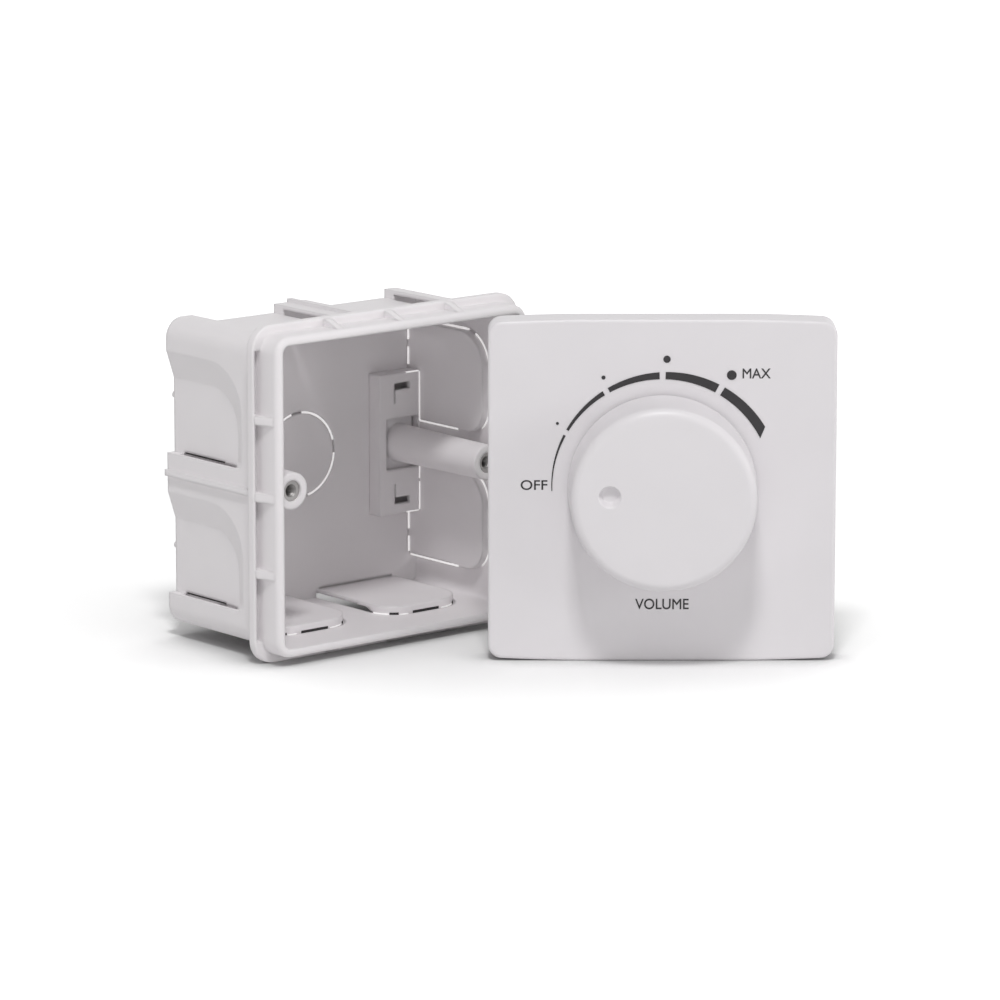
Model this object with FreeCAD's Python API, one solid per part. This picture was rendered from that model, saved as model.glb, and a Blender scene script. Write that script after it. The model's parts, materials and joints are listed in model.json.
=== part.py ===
import FreeCAD, Part
import math
import os

# A speaker volume control for a wall, shown beside its open flush-mounting back box.
# Frame: X to the right, Y away from the viewer, Z up, origin on the floor under the middle
# of the cover plate's lower edge. The control faces -Y. The box is turned about Z.
# All sizes are millimetres.

Vector = FreeCAD.Vector

# Cover plate
PLATE_SIZE = 86.0
PLATE_DEPTH = 9.0
PLATE_CORNER = 4.0
PLATE_CROWN = 0.7
PLATE_FLAT = 50.0
PLATE_BEVEL = 1.3
PLATE_WALL = 2.0
PLATE_HOLE_R = 7.4

# Printed scale
PRINT_THICK = 0.12
SCALE_INNER_R = 27.1
SCALE_OUTER_R = 28.4
SCALE_SHIFT_X = 1.05
SCALE_SHIFT_Z = 0.5
SCALE_START = 182.0
SCALE_GAP = 3.0
SCALE_END_INNER = 27.0
SCALE_END_OUTER = 31.0
DOT_RADII = (0.37, 0.5, 0.9, 1.2)
DOT_GAP = 2.3

# Control axis and travel
AXIS_RISE = 1.0
STEP_ANGLE = 30.0
SEGMENTS = 5

# Knob
KNOB_R = 23.3
KNOB_TOP_R = 22.9
KNOB_HEIGHT = 17.0
KNOB_GAP = 0.8
KNOB_EDGE = 2.2
KNOB_WALL = 2.0
DIMPLE_R = 2.6
DIMPLE_DEPTH = 1.3
DIMPLE_REACH = 13.2
BOSS_R = 5.6
BOSS_SHORT = 2.0
KNOB_RIB_LENGTH = 9.0

# Shaft and its bush
SHAFT_R = 3.0
FLAT_DEPTH = 1.4
FIT = 0.05
BUSH_R = 4.5
BUSH_LENGTH = 6.0
CLIP_THICK = 0.4

# Mounting frame
FRAME_WIDTH = PLATE_SIZE - 10.0
FRAME_HEIGHT = PLATE_SIZE - 16.0
FRAME_THICK = 2.0
FRAME_LIP = 4.5
FRAME_CORNER = 3.0
SCREW_SPACING = 60.3
SLOT_HALF_WIDTH = 2.2
SLOT_LENGTH = 9.0
TAB_WIDTH = 12.0

# Switch
NUT_FLATS = 12.0
NUT_THICK = 2.2
WASHER_THICK = 0.8
SWITCH_PLATE = 26.0
SWITCH_PLATE_THICK = 1.5
HOUSING_R = 12.5
HOUSING_DEPTH = 9.0
HOUSING_WALL = 1.5
WAFER_THICK = 1.2
ROTOR_R = 9.5
ROTOR_THICK = 3.0
BALL_R = 1.2
POCKET_FLOOR = 1.2
LUG_CIRCLE_R = 7.6
SPRING_WIRE = 0.15
STACK_SCREW_R = 1.2
STACK_SCREW_REACH = 10.8
LUG_COUNT = 6

# Transformer
CORE_WIDTH = 28.0
CORE_HEIGHT = 24.0
CORE_STACK = 10.0
CORE_LIMB = 4.6
TONGUE = 9.0
WINDING_OVER = 4.5
BOBBIN_WALL = 0.8
TAPE_THICK = 0.3
STRAP_THICK = 1.0
STRAP_WIDTH = 8.0
EAR_LENGTH = 8.0
TRANSFORMER_DROP = 25.5

# Circuit board and terminals
BOARD_WIDTH = 46.0
BOARD_HEIGHT = 16.0
BOARD_THICK = 1.6
BOARD_RISE = 21.0
PILLAR_LENGTH = 14.0
PILLAR_R = 2.6
SMALL_SCREW_R = 1.4
SMALL_HEAD_R = 2.6
SMALL_HEAD = 1.8
TERMINAL_PITCH = 7.5
TERMINAL_COUNT = 4
TERMINAL_DEPTH = 10.0
TERMINAL_HEIGHT = 11.0
TERMINAL_WALL = 0.8
WAY_FRONT = 2.0
WAY_BACK = 7.0
WAY_DROP = 3.5
CLAMP_THICK = 0.7
CLAMP_SCREW_R = 1.3
CLAMP_HEAD_R = 1.95
WIRE_R = 0.6
TAP_PITCH = 2.8
TAP_BOW = 3.0
LUG_TAIL = 5.0

# Back box, in its own frame: front at y 0, depth along +Y, middle at x 0 and z 0
OPENING_SIZE = 76.2
COLLAR_WALL = 2.2
COLLAR_SIZE = OPENING_SIZE + 2 * COLLAR_WALL
FLANGE_PROUD = 2.2
FLANGE_SIZE = COLLAR_SIZE + 2 * FLANGE_PROUD
SIDE_WALL = 1.1
BODY_SIZE = OPENING_SIZE + 2 * SIDE_WALL
FLANGE_FRONT = 6.5
FLANGE_THICK = 2.6
FLANGE_CORNER = 6.0
FLANGE_EDGE = 0.4
CHANNEL_LIP = 0.6
CHANNEL_DEPTH = 1.8
COLLAR_CORNER = 4.5
COLLAR_EDGE = 1.2
CAVITY_CORNER = 2.0
BODY_CORNER = 5.0
BODY_DEPTH = 44.4
BACK_WALL = 1.9
POST_LENGTH = BODY_DEPTH + 2.0
PANEL_WIDTH = 26.0
PANEL_START = 5.0
PANEL_DEEP = 2.3
PANEL_SLOPE = 7.0
PANEL_FRONT = 15.5
PANEL_RAMP = 4.5
PANEL_SKIN = 0.9
PANEL_ARC = 13.0
PANEL_EDGE = 2.0
KNOCKOUT_FRONT = 13.0
KNOCKOUT_CORNER = 6.5
KNOCKOUT_ARC = 9.0
GROOVE_SKIN = 0.6
SLIT_WIDTH = 0.6
SLIT_LENGTH = 17.0
SLIT_HEIGHT = 0.45
RIB_PROUD = 0.9
RIB_WIDTH = 1.6
GUSSET_PITCH = 19.3
GUSSET_WIDTH = 2.2
NUB_R = 0.9
NUB_LENGTH = 1.2
FIXED_PILLAR_R = 4.7
FIXED_PILLAR_ROOT_R = 5.6
FIXED_PILLAR_START = 7.0
INSERT_R = 2.7
INSERT_BORE_R = 1.65
INSERT_LENGTH = 11.0
INSERT_HOLE = INSERT_LENGTH + 4.0
ROUND_KNOCKOUT_R = 11.0

# Sliding pillar
SLIDE_PILLAR_START = 3.6
SLIDE_PILLAR_R = 4.5
SLIDE_PILLAR_ROOT_R = 4.9
SLIDE_TRAVEL = 1.5
SLIDE_CLEARANCE = 0.3
RETAINER_STRIP = 2.4
RETAINER_GAP = 2.2
RETAINER_EDGE = OPENING_SIZE / 2 - RETAINER_GAP
RETAINER_HEIGHT = 37.0
RETAINER_PROUD = 4.4
RETAINER_SKIN = 1.6
RETAINER_WALL = 1.3
LATCH_WIDTH = 5.2
LATCH_HEIGHT = 1.8
LATCH_REACH = 15.0
LATCH_SLIT = 0.4
LATCH_TONGUE = 3.5

# Placing of the box beside the control
BOX_YAW = 40.0
BOX_X = -63.8
BOX_Y = 12.0

PLATE_FRONT = -PLATE_DEPTH / 2
PLATE_BACK = PLATE_DEPTH / 2
AXIS_Z = PLATE_SIZE / 2 + AXIS_RISE
FRAME_FRONT = PLATE_BACK - FRAME_LIP
FRAME_BACK = FRAME_FRONT + FRAME_THICK
BOX_MIDDLE_Z = FLANGE_SIZE / 2
SWITCH_FRONT = FRAME_BACK
SWITCH_BACK = SWITCH_FRONT + SWITCH_PLATE_THICK
HOUSING_BACK = SWITCH_BACK + HOUSING_DEPTH
WAFER_BACK = HOUSING_BACK + WAFER_THICK
KNOB_BACK = PLATE_FRONT - KNOB_GAP
KNOB_FRONT = KNOB_BACK - KNOB_HEIGHT
SHAFT_FRONT = KNOB_FRONT + KNOB_WALL + 1.0
PILLAR_X = SCREW_SPACING / 2


def box(x0, x1, y0, y1, z0, z1):
    """A block between two corners."""
    return Part.makeBox(x1 - x0, y1 - y0, z1 - z0, Vector(x0, y0, z0))


def rod(x, z, y0, y1, radius, radius_end=None):
    """A round bar or cone along Y."""
    start = Vector(x, y0, z)
    along = Vector(0, 1, 0)
    if radius_end is None or abs(radius_end - radius) < 1e-9:
        return Part.makeCylinder(radius, y1 - y0, start, along)
    return Part.makeCone(radius, radius_end, y1 - y0, start, along)


def ring(x, z, y0, y1, outer, inner):
    """A round tube along Y."""
    return rod(x, z, y0, y1, outer).cut(rod(x, z, y0, y1, inner))


def wire_at(points_and_arcs, y):
    """A closed wire at depth y from edges given in the X-Z plane."""
    edges = []
    for item in points_and_arcs:
        spots = [Vector(p[0], y, p[1]) for p in item]
        if len(spots) == 2:
            edges.append(Part.LineSegment(spots[0], spots[1]).toShape())
        else:
            edges.append(Part.Arc(spots[0], spots[1], spots[2]).toShape())
    return Part.Wire(edges)


def rounded_outline(half_x, half_z, radius):
    """Edges of a rounded rectangle about the origin, in the X-Z plane."""
    ix = half_x - radius
    iz = half_z - radius
    bend = radius * math.sqrt(0.5)
    return [
        [(-ix, -half_z), (ix, -half_z)],
        [(ix, -half_z), (ix + bend, -iz - bend), (half_x, -iz)],
        [(half_x, -iz), (half_x, iz)],
        [(half_x, iz), (ix + bend, iz + bend), (ix, half_z)],
        [(ix, half_z), (-ix, half_z)],
        [(-ix, half_z), (-ix - bend, iz + bend), (-half_x, iz)],
        [(-half_x, iz), (-half_x, -iz)],
        [(-half_x, -iz), (-ix - bend, -iz - bend), (-ix, -half_z)],
    ]


def rounded_prism(size_x, size_z, radius, y0, y1):
    """A rounded rectangular prism along Y about the origin."""
    face = Part.Face(wire_at(rounded_outline(size_x / 2, size_z / 2, radius), y0))
    return face.extrude(Vector(0, y1 - y0, 0))


def fuse_all(shapes):
    """One solid from several that meet."""
    first = shapes[0]
    joined = first.fuse(shapes[1:]) if len(shapes) > 1 else first
    return joined.removeSplitter()


def group(shapes):
    """Several separate solids for one node."""
    return Part.makeCompound(shapes)


def crowned_outline(inset):
    """Edges of the cover's outline: straight sides, top and bottom bowed out a little."""
    half = PLATE_SIZE / 2 - inset
    flat = PLATE_FLAT / 2
    radius = PLATE_CORNER - inset * 0.5
    ix = half - radius
    low = half - PLATE_CROWN
    iz = low - radius
    bend = radius * math.sqrt(0.5)
    bow_x = (flat + ix) / 2
    bow_z = half - PLATE_CROWN * 0.27
    return [
        [(-flat, -half), (flat, -half)],
        [(flat, -half), (bow_x, -bow_z), (ix, -low)],
        [(ix, -low), (ix + bend, -iz - bend), (half, -iz)],
        [(half, -iz), (half, iz)],
        [(half, iz), (ix + bend, iz + bend), (ix, low)],
        [(ix, low), (bow_x, bow_z), (flat, half)],
        [(flat, half), (-flat, half)],
        [(-flat, half), (-bow_x, bow_z), (-ix, low)],
        [(-ix, low), (-ix - bend, iz + bend), (-half, iz)],
        [(-half, iz), (-half, -iz)],
        [(-half, -iz), (-ix - bend, -iz - bend), (-ix, -low)],
        [(-ix, -low), (-bow_x, -bow_z), (-flat, -half)],
    ]


def cover_plate():
    """The front cover: a shallow dished shell with a bevelled front edge and two clip tongues."""
    bevel_back = PLATE_FRONT + PLATE_BEVEL
    side = Part.Face(wire_at(crowned_outline(0), bevel_back))
    shell = side.extrude(Vector(0, PLATE_BACK - bevel_back, 0))
    slope = Part.makeLoft([wire_at(crowned_outline(PLATE_BEVEL), PLATE_FRONT),
                           wire_at(crowned_outline(0), bevel_back)], True, True)
    shell = shell.fuse(slope).removeSplitter()
    inside = PLATE_SIZE - 2 * PLATE_WALL - 2 * PLATE_CROWN
    hollow = rounded_prism(inside, inside, 2.0, PLATE_FRONT + PLATE_WALL, PLATE_BACK + 1)
    shell = shell.cut(hollow)
    clips = []
    for side_z in (-1, 1):
        root = side_z * inside / 2
        inner = side_z * FRAME_HEIGHT / 2
        low, high = sorted((root, inner))
        clips.append(box(-TAB_WIDTH / 2, TAB_WIDTH / 2, PLATE_FRONT + PLATE_WALL, PLATE_BACK - 1.0,
                         low, high))
    shell = fuse_all([shell] + clips)
    shell.translate(Vector(0, 0, PLATE_SIZE / 2))
    return shell.cut(rod(0, AXIS_Z, PLATE_FRONT - 1, PLATE_BACK, PLATE_HOLE_R))


def scale_point(radius, angle, shift=0.0):
    """A point of the printed scale, angle in degrees from +X, on the shifted or centred circle."""
    turn = math.radians(angle)
    return (shift * SCALE_SHIFT_X + radius * math.cos(turn),
            shift * SCALE_SHIFT_Z + radius * math.sin(turn) + AXIS_Z)


def outer_point(angle):
    """Where a ray from the knob's axis meets the scale's outer circle, which is off centre."""
    turn = math.radians(angle)
    along = SCALE_SHIFT_X * math.cos(turn) + SCALE_SHIFT_Z * math.sin(turn)
    shift = SCALE_SHIFT_X ** 2 + SCALE_SHIFT_Z ** 2
    return scale_point(along + math.sqrt(along ** 2 - shift + SCALE_OUTER_R ** 2), angle)


def scale_segments():
    """Five printed arcs that thicken clockwise: a circle cut by one set a little off its centre.

    The gaps lie on rays from the knob's axis, and the last arc ends on a slant."""
    pieces = []
    for number in range(SEGMENTS):
        start = SCALE_START if number == 0 else 180 - STEP_ANGLE * number - SCALE_GAP / 2
        end = 180 - STEP_ANGLE * (number + 1) + SCALE_GAP / 2
        last = number == SEGMENTS - 1
        inner_end = SCALE_END_INNER if last else end
        outer_end = SCALE_END_OUTER if last else end
        inner = [scale_point(SCALE_INNER_R, turn) for turn in (start, (start + inner_end) / 2, inner_end)]
        outer = [outer_point(turn) for turn in (outer_end, (start + outer_end) / 2, start)]
        outline = [inner, [inner[2], outer[0]], outer, [outer[2], inner[0]]]
        face = Part.Face(wire_at(outline, PLATE_FRONT))
        pieces.append(face.extrude(Vector(0, -PRINT_THICK, 0)))
    return group(pieces)


def scale_dots():
    """Four printed dots, one for each step, growing clockwise."""
    pieces = []
    for number, radius in enumerate(DOT_RADII):
        angle = 180 - STEP_ANGLE * (number + 1)
        x, z = scale_point(SCALE_OUTER_R + DOT_GAP + radius, angle, 1)
        pieces.append(rod(x, z, PLATE_FRONT - PRINT_THICK, PLATE_FRONT, radius))
    return group(pieces)


def knob():
    """The knob: a hollow cap with a soft front edge, a boss for the shaft and a thumb dimple."""
    cap = rod(0, AXIS_Z, KNOB_FRONT, KNOB_BACK, KNOB_TOP_R, KNOB_R)
    rims = [edge for edge in cap.Edges if abs(edge.BoundBox.YMax - KNOB_FRONT) < 1e-6]
    cap = cap.makeFillet(KNOB_EDGE, rims)
    hollow = rod(0, AXIS_Z, KNOB_FRONT + KNOB_WALL, KNOB_BACK + 1, KNOB_TOP_R - KNOB_WALL, KNOB_R - KNOB_WALL)
    cap = cap.cut(hollow)
    boss = rod(0, AXIS_Z, KNOB_FRONT + KNOB_WALL / 2, KNOB_BACK - BOSS_SHORT, BOSS_R)
    ribs = []
    for number in range(6):
        rib = box(BOSS_R - 0.5, KNOB_TOP_R - KNOB_WALL / 2, KNOB_FRONT + KNOB_WALL / 2,
                  KNOB_FRONT + KNOB_RIB_LENGTH, -0.6, 0.6)
        rib.rotate(Vector(0, 0, 0), Vector(0, 1, 0), 60 * number + 30)
        rib.translate(Vector(0, 0, AXIS_Z))
        ribs.append(rib)
    cap = fuse_all([cap, boss] + ribs)
    bore = rod(0, AXIS_Z, SHAFT_FRONT - 0.5, KNOB_BACK + 1, SHAFT_R + FIT)
    keep = box(-SHAFT_R * 2, SHAFT_R * 2, SHAFT_FRONT - 1, KNOB_BACK + 2,
               AXIS_Z + SHAFT_R - FLAT_DEPTH + CLIP_THICK + 2 * FIT, AXIS_Z + SHAFT_R * 2)
    cap = cap.cut(bore.cut(keep))
    ball_r = (DIMPLE_R ** 2 + DIMPLE_DEPTH ** 2) / (2 * DIMPLE_DEPTH)
    scoop = Part.makeSphere(ball_r, Vector(-DIMPLE_REACH, KNOB_FRONT + DIMPLE_DEPTH - ball_r, AXIS_Z))
    return cap.cut(scoop)


def knob_clip():
    """A flat spring strip between the shaft's flat and the knob's bore."""
    low = AXIS_Z + SHAFT_R - FLAT_DEPTH + FIT
    return box(-1.6, 1.6, SHAFT_FRONT + 0.5, KNOB_BACK - BOSS_SHORT, low, low + CLIP_THICK)


def switch_shaft():
    """The shaft, with a flat for the knob and a groove for the circlip."""
    shaft = rod(0, AXIS_Z, SHAFT_FRONT, HOUSING_BACK - 2.0, SHAFT_R)
    flat = box(-SHAFT_R, SHAFT_R, SHAFT_FRONT - 1, KNOB_BACK - BOSS_SHORT + 1.0,
               AXIS_Z + SHAFT_R - FLAT_DEPTH, AXIS_Z + SHAFT_R + 1)
    groove_front = bush_front() - 1.1
    groove = ring(0, AXIS_Z, groove_front, groove_front + 0.9, SHAFT_R + 1, SHAFT_R - 0.5)
    return shaft.cut(flat).cut(groove)


def bush_front():
    """Where the threaded bush ends, towards the viewer."""
    return SWITCH_FRONT - BUSH_LENGTH


def shaft_circlip():
    """An open ring in the shaft's groove."""
    front = bush_front() - 1.1 + FIT
    disc = ring(0, AXIS_Z, front, front + 0.8, SHAFT_R + 1.4, SHAFT_R - 0.5 + FIT)
    gap = box(-1.6, 1.6, front - 1, front + 2, AXIS_Z - SHAFT_R - 3, AXIS_Z)
    return disc.cut(gap)


def mounting_frame():
    """The support frame: a shallow tray with two screw slots, a bush hole and clip notches."""
    tray = rounded_prism(FRAME_WIDTH, FRAME_HEIGHT, FRAME_CORNER, FRAME_FRONT, FRAME_BACK)
    lip = rounded_prism(FRAME_WIDTH, FRAME_HEIGHT, FRAME_CORNER, FRAME_BACK, PLATE_BACK)
    inner_w = FRAME_WIDTH - 2 * FRAME_THICK
    inner_h = FRAME_HEIGHT - 2 * FRAME_THICK
    lip = lip.cut(rounded_prism(inner_w, inner_h, 1.5, FRAME_BACK - 1, PLATE_BACK + 1))
    frame = fuse_all([tray, lip])
    for side in (-1, 1):
        centre = side * PILLAR_X
        run = SLOT_LENGTH / 2 - SLOT_HALF_WIDTH
        slot = box(centre - run, centre + run, FRAME_FRONT - 1, FRAME_BACK + 1,
                   -SLOT_HALF_WIDTH, SLOT_HALF_WIDTH)
        frame = frame.cut(slot)
        for end in (-run, run):
            frame = frame.cut(rod(centre + end, 0, FRAME_FRONT - 1, FRAME_BACK + 1, SLOT_HALF_WIDTH))
    frame.translate(Vector(0, 0, PLATE_SIZE / 2))
    frame = frame.cut(rod(0, AXIS_Z, FRAME_FRONT - 1, FRAME_BACK + 1, BUSH_R + FIT * 2))
    for x, z in board_screw_spots() + bracket_screw_spots():
        frame = frame.cut(rod(x, z, FRAME_FRONT - 1, FRAME_BACK + 1, SMALL_SCREW_R + FIT * 2))
    return frame


def hexagon(flats, y0, y1):
    """A hexagonal prism about the control's axis."""
    radius = flats / math.sqrt(3)
    spots = []
    for number in range(7):
        turn = math.radians(60 * number + 30)
        spots.append(Vector(radius * math.cos(turn), y0, AXIS_Z + radius * math.sin(turn)))
    return Part.Face(Part.makePolygon(spots)).extrude(Vector(0, y1 - y0, 0))


def lock_washer():
    """The toothed washer under the nut."""
    washer = rod(0, AXIS_Z, FRAME_FRONT - WASHER_THICK, FRAME_FRONT, NUT_FLATS / 2 + 1.2)
    for number in range(12):
        tooth = box(NUT_FLATS / 2 + 0.4, NUT_FLATS, FRAME_FRONT - WASHER_THICK - 1, FRAME_FRONT + 1,
                    -0.5, 0.5)
        tooth.rotate(Vector(0, 0, 0), Vector(0, 1, 0), 30 * number)
        tooth.translate(Vector(0, 0, AXIS_Z))
        washer = washer.cut(tooth)
    return washer.cut(rod(0, AXIS_Z, FRAME_FRONT - 2, FRAME_FRONT + 1, BUSH_R + FIT))


def switch_nut():
    """The hexagonal nut that holds the switch."""
    back = FRAME_FRONT - WASHER_THICK
    nut = hexagon(NUT_FLATS, back - NUT_THICK, back)
    return nut.cut(rod(0, AXIS_Z, back - NUT_THICK - 1, back + 1, BUSH_R + FIT))


def stack_screw_spots():
    """The two long screws that clamp the switch."""
    return [(-STACK_SCREW_REACH, AXIS_Z), (STACK_SCREW_REACH, AXIS_Z)]


def switch_bush():
    """The bush with the switch's front plate, in one casting."""
    plate = rounded_prism(SWITCH_PLATE, SWITCH_PLATE, 4.0, SWITCH_FRONT, SWITCH_BACK)
    plate.translate(Vector(0, 0, AXIS_Z))
    bush = rod(0, AXIS_Z, bush_front(), SWITCH_FRONT + 0.5, BUSH_R)
    body = fuse_all([plate, bush])
    body = body.cut(rod(0, AXIS_Z, bush_front() - 1, SWITCH_BACK + 1, SHAFT_R + FIT))
    for x, z in stack_screw_spots():
        body = body.cut(rod(x, z, SWITCH_FRONT - 1, SWITCH_BACK + 1, STACK_SCREW_R + FIT))
    return body


def switch_housing():
    """The switch body: a round cup with a ring of detent notches inside its front rim."""
    cup = rod(0, AXIS_Z, SWITCH_BACK, HOUSING_BACK, HOUSING_R)
    cup = cup.cut(rod(0, AXIS_Z, SWITCH_BACK - 1, HOUSING_BACK + 1, HOUSING_R - HOUSING_WALL * 2))
    ball_y = SWITCH_BACK + 1.0 + ROTOR_THICK / 2
    for number in range(12):
        turn = math.radians(STEP_ANGLE * number)
        reach = HOUSING_R - HOUSING_WALL * 2
        cup = cup.cut(rod(reach * math.cos(turn), AXIS_Z + reach * math.sin(turn),
                          ball_y - BALL_R, ball_y + BALL_R, 0.5))
    for x, z in stack_screw_spots():
        cup = cup.cut(rod(x, z, SWITCH_BACK - 1, HOUSING_BACK + 1, STACK_SCREW_R + FIT))
    return cup


def detent_reach():
    """How far the detent ball's centre stands from the axis, just clear of the ring."""
    return HOUSING_R - HOUSING_WALL * 2 - BALL_R - FIT


def detent_rotor():
    """The plastic rotor on the shaft, with a radial pocket for the ball and its spring."""
    front = SWITCH_BACK + 1.0
    rotor = rod(0, AXIS_Z, front, front + ROTOR_THICK, ROTOR_R - 0.6)
    hub = rod(0, AXIS_Z, front + ROTOR_THICK - 0.2, HOUSING_BACK - 2.0, SHAFT_R + 2.0)
    rotor = fuse_all([rotor, hub])
    rotor = rotor.cut(rod(0, AXIS_Z, front - 1, HOUSING_BACK, SHAFT_R + 0.01))
    pocket_start = Vector(0, front + ROTOR_THICK / 2, AXIS_Z + SHAFT_R + POCKET_FLOOR)
    pocket = Part.makeCylinder(BALL_R + FIT, ROTOR_R, pocket_start, Vector(0, 0, 1))
    return rotor.cut(pocket)


def detent_ball():
    """The steel ball pressed out into the ring of notches."""
    return Part.makeSphere(BALL_R, Vector(0, SWITCH_BACK + 1.0 + ROTOR_THICK / 2, AXIS_Z + detent_reach()))


def detent_spring():
    """The short coil behind the ball, as a plain sleeve because it is sealed in its pocket."""
    low = AXIS_Z + SHAFT_R + POCKET_FLOOR
    inner = BALL_R - SPRING_WIRE * 2 - FIT
    high = AXIS_Z + detent_reach() - math.sqrt(BALL_R ** 2 - inner ** 2)
    middle = SWITCH_BACK + 1.0 + ROTOR_THICK / 2
    coil = Part.makeCylinder(BALL_R - FIT, high - low, Vector(0, middle, low), Vector(0, 0, 1))
    return coil.cut(Part.makeCylinder(inner, high - low, Vector(0, middle, low), Vector(0, 0, 1)))


def wafer():
    """The contact disc that closes the back of the switch."""
    disc = rod(0, AXIS_Z, HOUSING_BACK, WAFER_BACK, HOUSING_R)
    for x, z in stack_screw_spots():
        disc = disc.cut(rod(x, z, HOUSING_BACK - 1, WAFER_BACK + 1, STACK_SCREW_R + FIT))
    for x, z in lug_spots():
        disc = disc.cut(box(x - 0.75, x + 0.75, HOUSING_BACK - 1, WAFER_BACK + 1, z - 0.3, z + 0.3))
    return disc


def lug_spots():
    """Places of the fixed contacts on the wafer: one for each position, and the common one."""
    spots = []
    for number in range(LUG_COUNT - 1):
        turn = math.radians(180 - STEP_ANGLE * number)
        spots.append((LUG_CIRCLE_R * math.cos(turn), AXIS_Z + LUG_CIRCLE_R * math.sin(turn)))
    spots.append((0.0, AXIS_Z - LUG_CIRCLE_R))
    return spots


def fixed_contacts():
    """The lugs: each a flat tail behind the wafer and a pad inside the switch."""
    pieces = []
    for x, z in lug_spots():
        tail = box(x - 0.7, x + 0.7, HOUSING_BACK - 0.6, WAFER_BACK + LUG_TAIL, z - 0.25, z + 0.25)
        eye = Vector(x, WAFER_BACK + LUG_TAIL - 1.2, z - 1)
        tail = tail.cut(Part.makeCylinder(0.35, 2.0, eye, Vector(0, 0, 1)))
        pieces.append(tail)
    return group(pieces)


def wiper():
    """The moving contact: a spring disc on the rotor's end with one arm."""
    front = HOUSING_BACK - 2.0
    hub = rod(0, AXIS_Z, front, front + 0.4, SHAFT_R + 1.6)
    arm = box(-LUG_CIRCLE_R - 0.8, 0, front, front + 0.4, AXIS_Z - 1.2, AXIS_Z + 1.2)
    tip = Part.makeSphere(0.8, Vector(-LUG_CIRCLE_R, front + 0.45, AXIS_Z))
    tip = tip.common(box(-LUG_CIRCLE_R - 1, -LUG_CIRCLE_R + 1, front, front + 1.3, AXIS_Z - 1, AXIS_Z + 1))
    return fuse_all([hub, arm, tip])


def headed_screw(x, z, y_head, y_tip, head_out):
    """A small pan-head screw along Y; head_out is -1 when the head is on the viewer's side."""
    low, high = sorted((y_head, y_tip))
    shank = rod(x, z, low, high, SMALL_SCREW_R)
    head_low, head_high = sorted((y_head, y_head + head_out * SMALL_HEAD))
    head = rod(x, z, head_low, head_high, SMALL_HEAD_R)
    face_y = y_head + head_out * SMALL_HEAD
    screw = fuse_all([shank, head])
    cut_low, cut_high = sorted((face_y, face_y - head_out * 0.8))
    for turn in (0, 90):
        slot = box(-1.6, 1.6, cut_low, cut_high, -0.3, 0.3)
        slot.rotate(Vector(0, 0, 0), Vector(0, 1, 0), turn)
        slot.translate(Vector(x, 0, z))
        screw = screw.cut(slot)
    return screw


def switch_screws():
    """Two long screws through the switch, each with its nut behind the wafer."""
    pieces = []
    for x, z in stack_screw_spots():
        shank = rod(x, z, SWITCH_FRONT, WAFER_BACK + 2.6, STACK_SCREW_R)
        nut = rod(x, z, WAFER_BACK, WAFER_BACK + 1.6, STACK_SCREW_R + 1.2)
        pieces.append(fuse_all([shank, nut]))
    return group(pieces)


def core_front():
    """Front face of the transformer's iron."""
    return FRAME_BACK + BOBBIN_WALL + WINDING_OVER + TAPE_THICK + 0.5


def core_middle_z():
    """Height of the transformer's middle."""
    return AXIS_Z - TRANSFORMER_DROP


def transformer_core():
    """The iron: an E and I stack with two windows."""
    front = core_front()
    back = front + CORE_STACK
    mid = core_middle_z()
    iron = box(-CORE_WIDTH / 2, CORE_WIDTH / 2, front, back, mid - CORE_HEIGHT / 2, mid + CORE_HEIGHT / 2)
    for side in (-1, 1):
        low, high = sorted((side * TONGUE / 2, side * (CORE_WIDTH / 2 - CORE_LIMB)))
        window = box(low, high, front - 1, back + 1, mid - CORE_HEIGHT / 2 + CORE_LIMB,
                     mid + CORE_HEIGHT / 2 - CORE_LIMB)
        iron = iron.cut(window)
    return iron


def window_sizes():
    """Half height of the iron's windows and the clear half width round the tongue."""
    half_height = CORE_HEIGHT / 2 - CORE_LIMB
    reach = CORE_WIDTH / 2 - CORE_LIMB
    return half_height, reach


def bobbin():
    """The moulded former: a square tube on the tongue with a cheek at each end."""
    front = core_front()
    back = front + CORE_STACK
    mid = core_middle_z()
    half_height, reach = window_sizes()
    half_height -= FIT * 2
    side = reach - FIT * 4
    over = BOBBIN_WALL + WINDING_OVER
    hole_x = TONGUE / 2 + FIT
    tube = box(-hole_x - BOBBIN_WALL, hole_x + BOBBIN_WALL, front - BOBBIN_WALL - FIT,
               back + BOBBIN_WALL + FIT, mid - half_height, mid + half_height)
    cheeks = []
    for end in (-1, 1):
        low, high = sorted((mid + end * half_height, mid + end * (half_height - BOBBIN_WALL)))
        cheeks.append(box(-side, side, front - over, back + over, low, high))
    former = fuse_all([tube] + cheeks)
    return former.cut(box(-hole_x, hole_x, front - FIT, back + FIT, mid - 50, mid + 50))


def winding_block(grow, half_height):
    """A rounded block round the former's tube."""
    front = core_front()
    back = front + CORE_STACK
    mid = core_middle_z()
    hole_x = TONGUE / 2 + FIT + BOBBIN_WALL
    inner_y = BOBBIN_WALL + FIT
    half_x = hole_x + grow
    y0 = front - inner_y - grow
    y1 = back + inner_y + grow
    block = box(-half_x, half_x, y0, y1, mid - half_height, mid + half_height)
    upright = [edge for edge in block.Edges if edge.BoundBox.ZLength > half_height]
    if grow > 0:
        block = block.makeFillet(min(grow, 2.5), upright)
    return block


def winding():
    """The copper winding."""
    half_height = window_sizes()[0] - BOBBIN_WALL - FIT * 3
    thick = winding_thickness()
    return winding_block(thick, half_height).cut(winding_block(0, half_height + 1))


def winding_thickness():
    """Copper between the former and the iron's window."""
    return min(WINDING_OVER - 1.0, window_sizes()[1] - TONGUE / 2 - BOBBIN_WALL - TAPE_THICK - 0.4)


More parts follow.
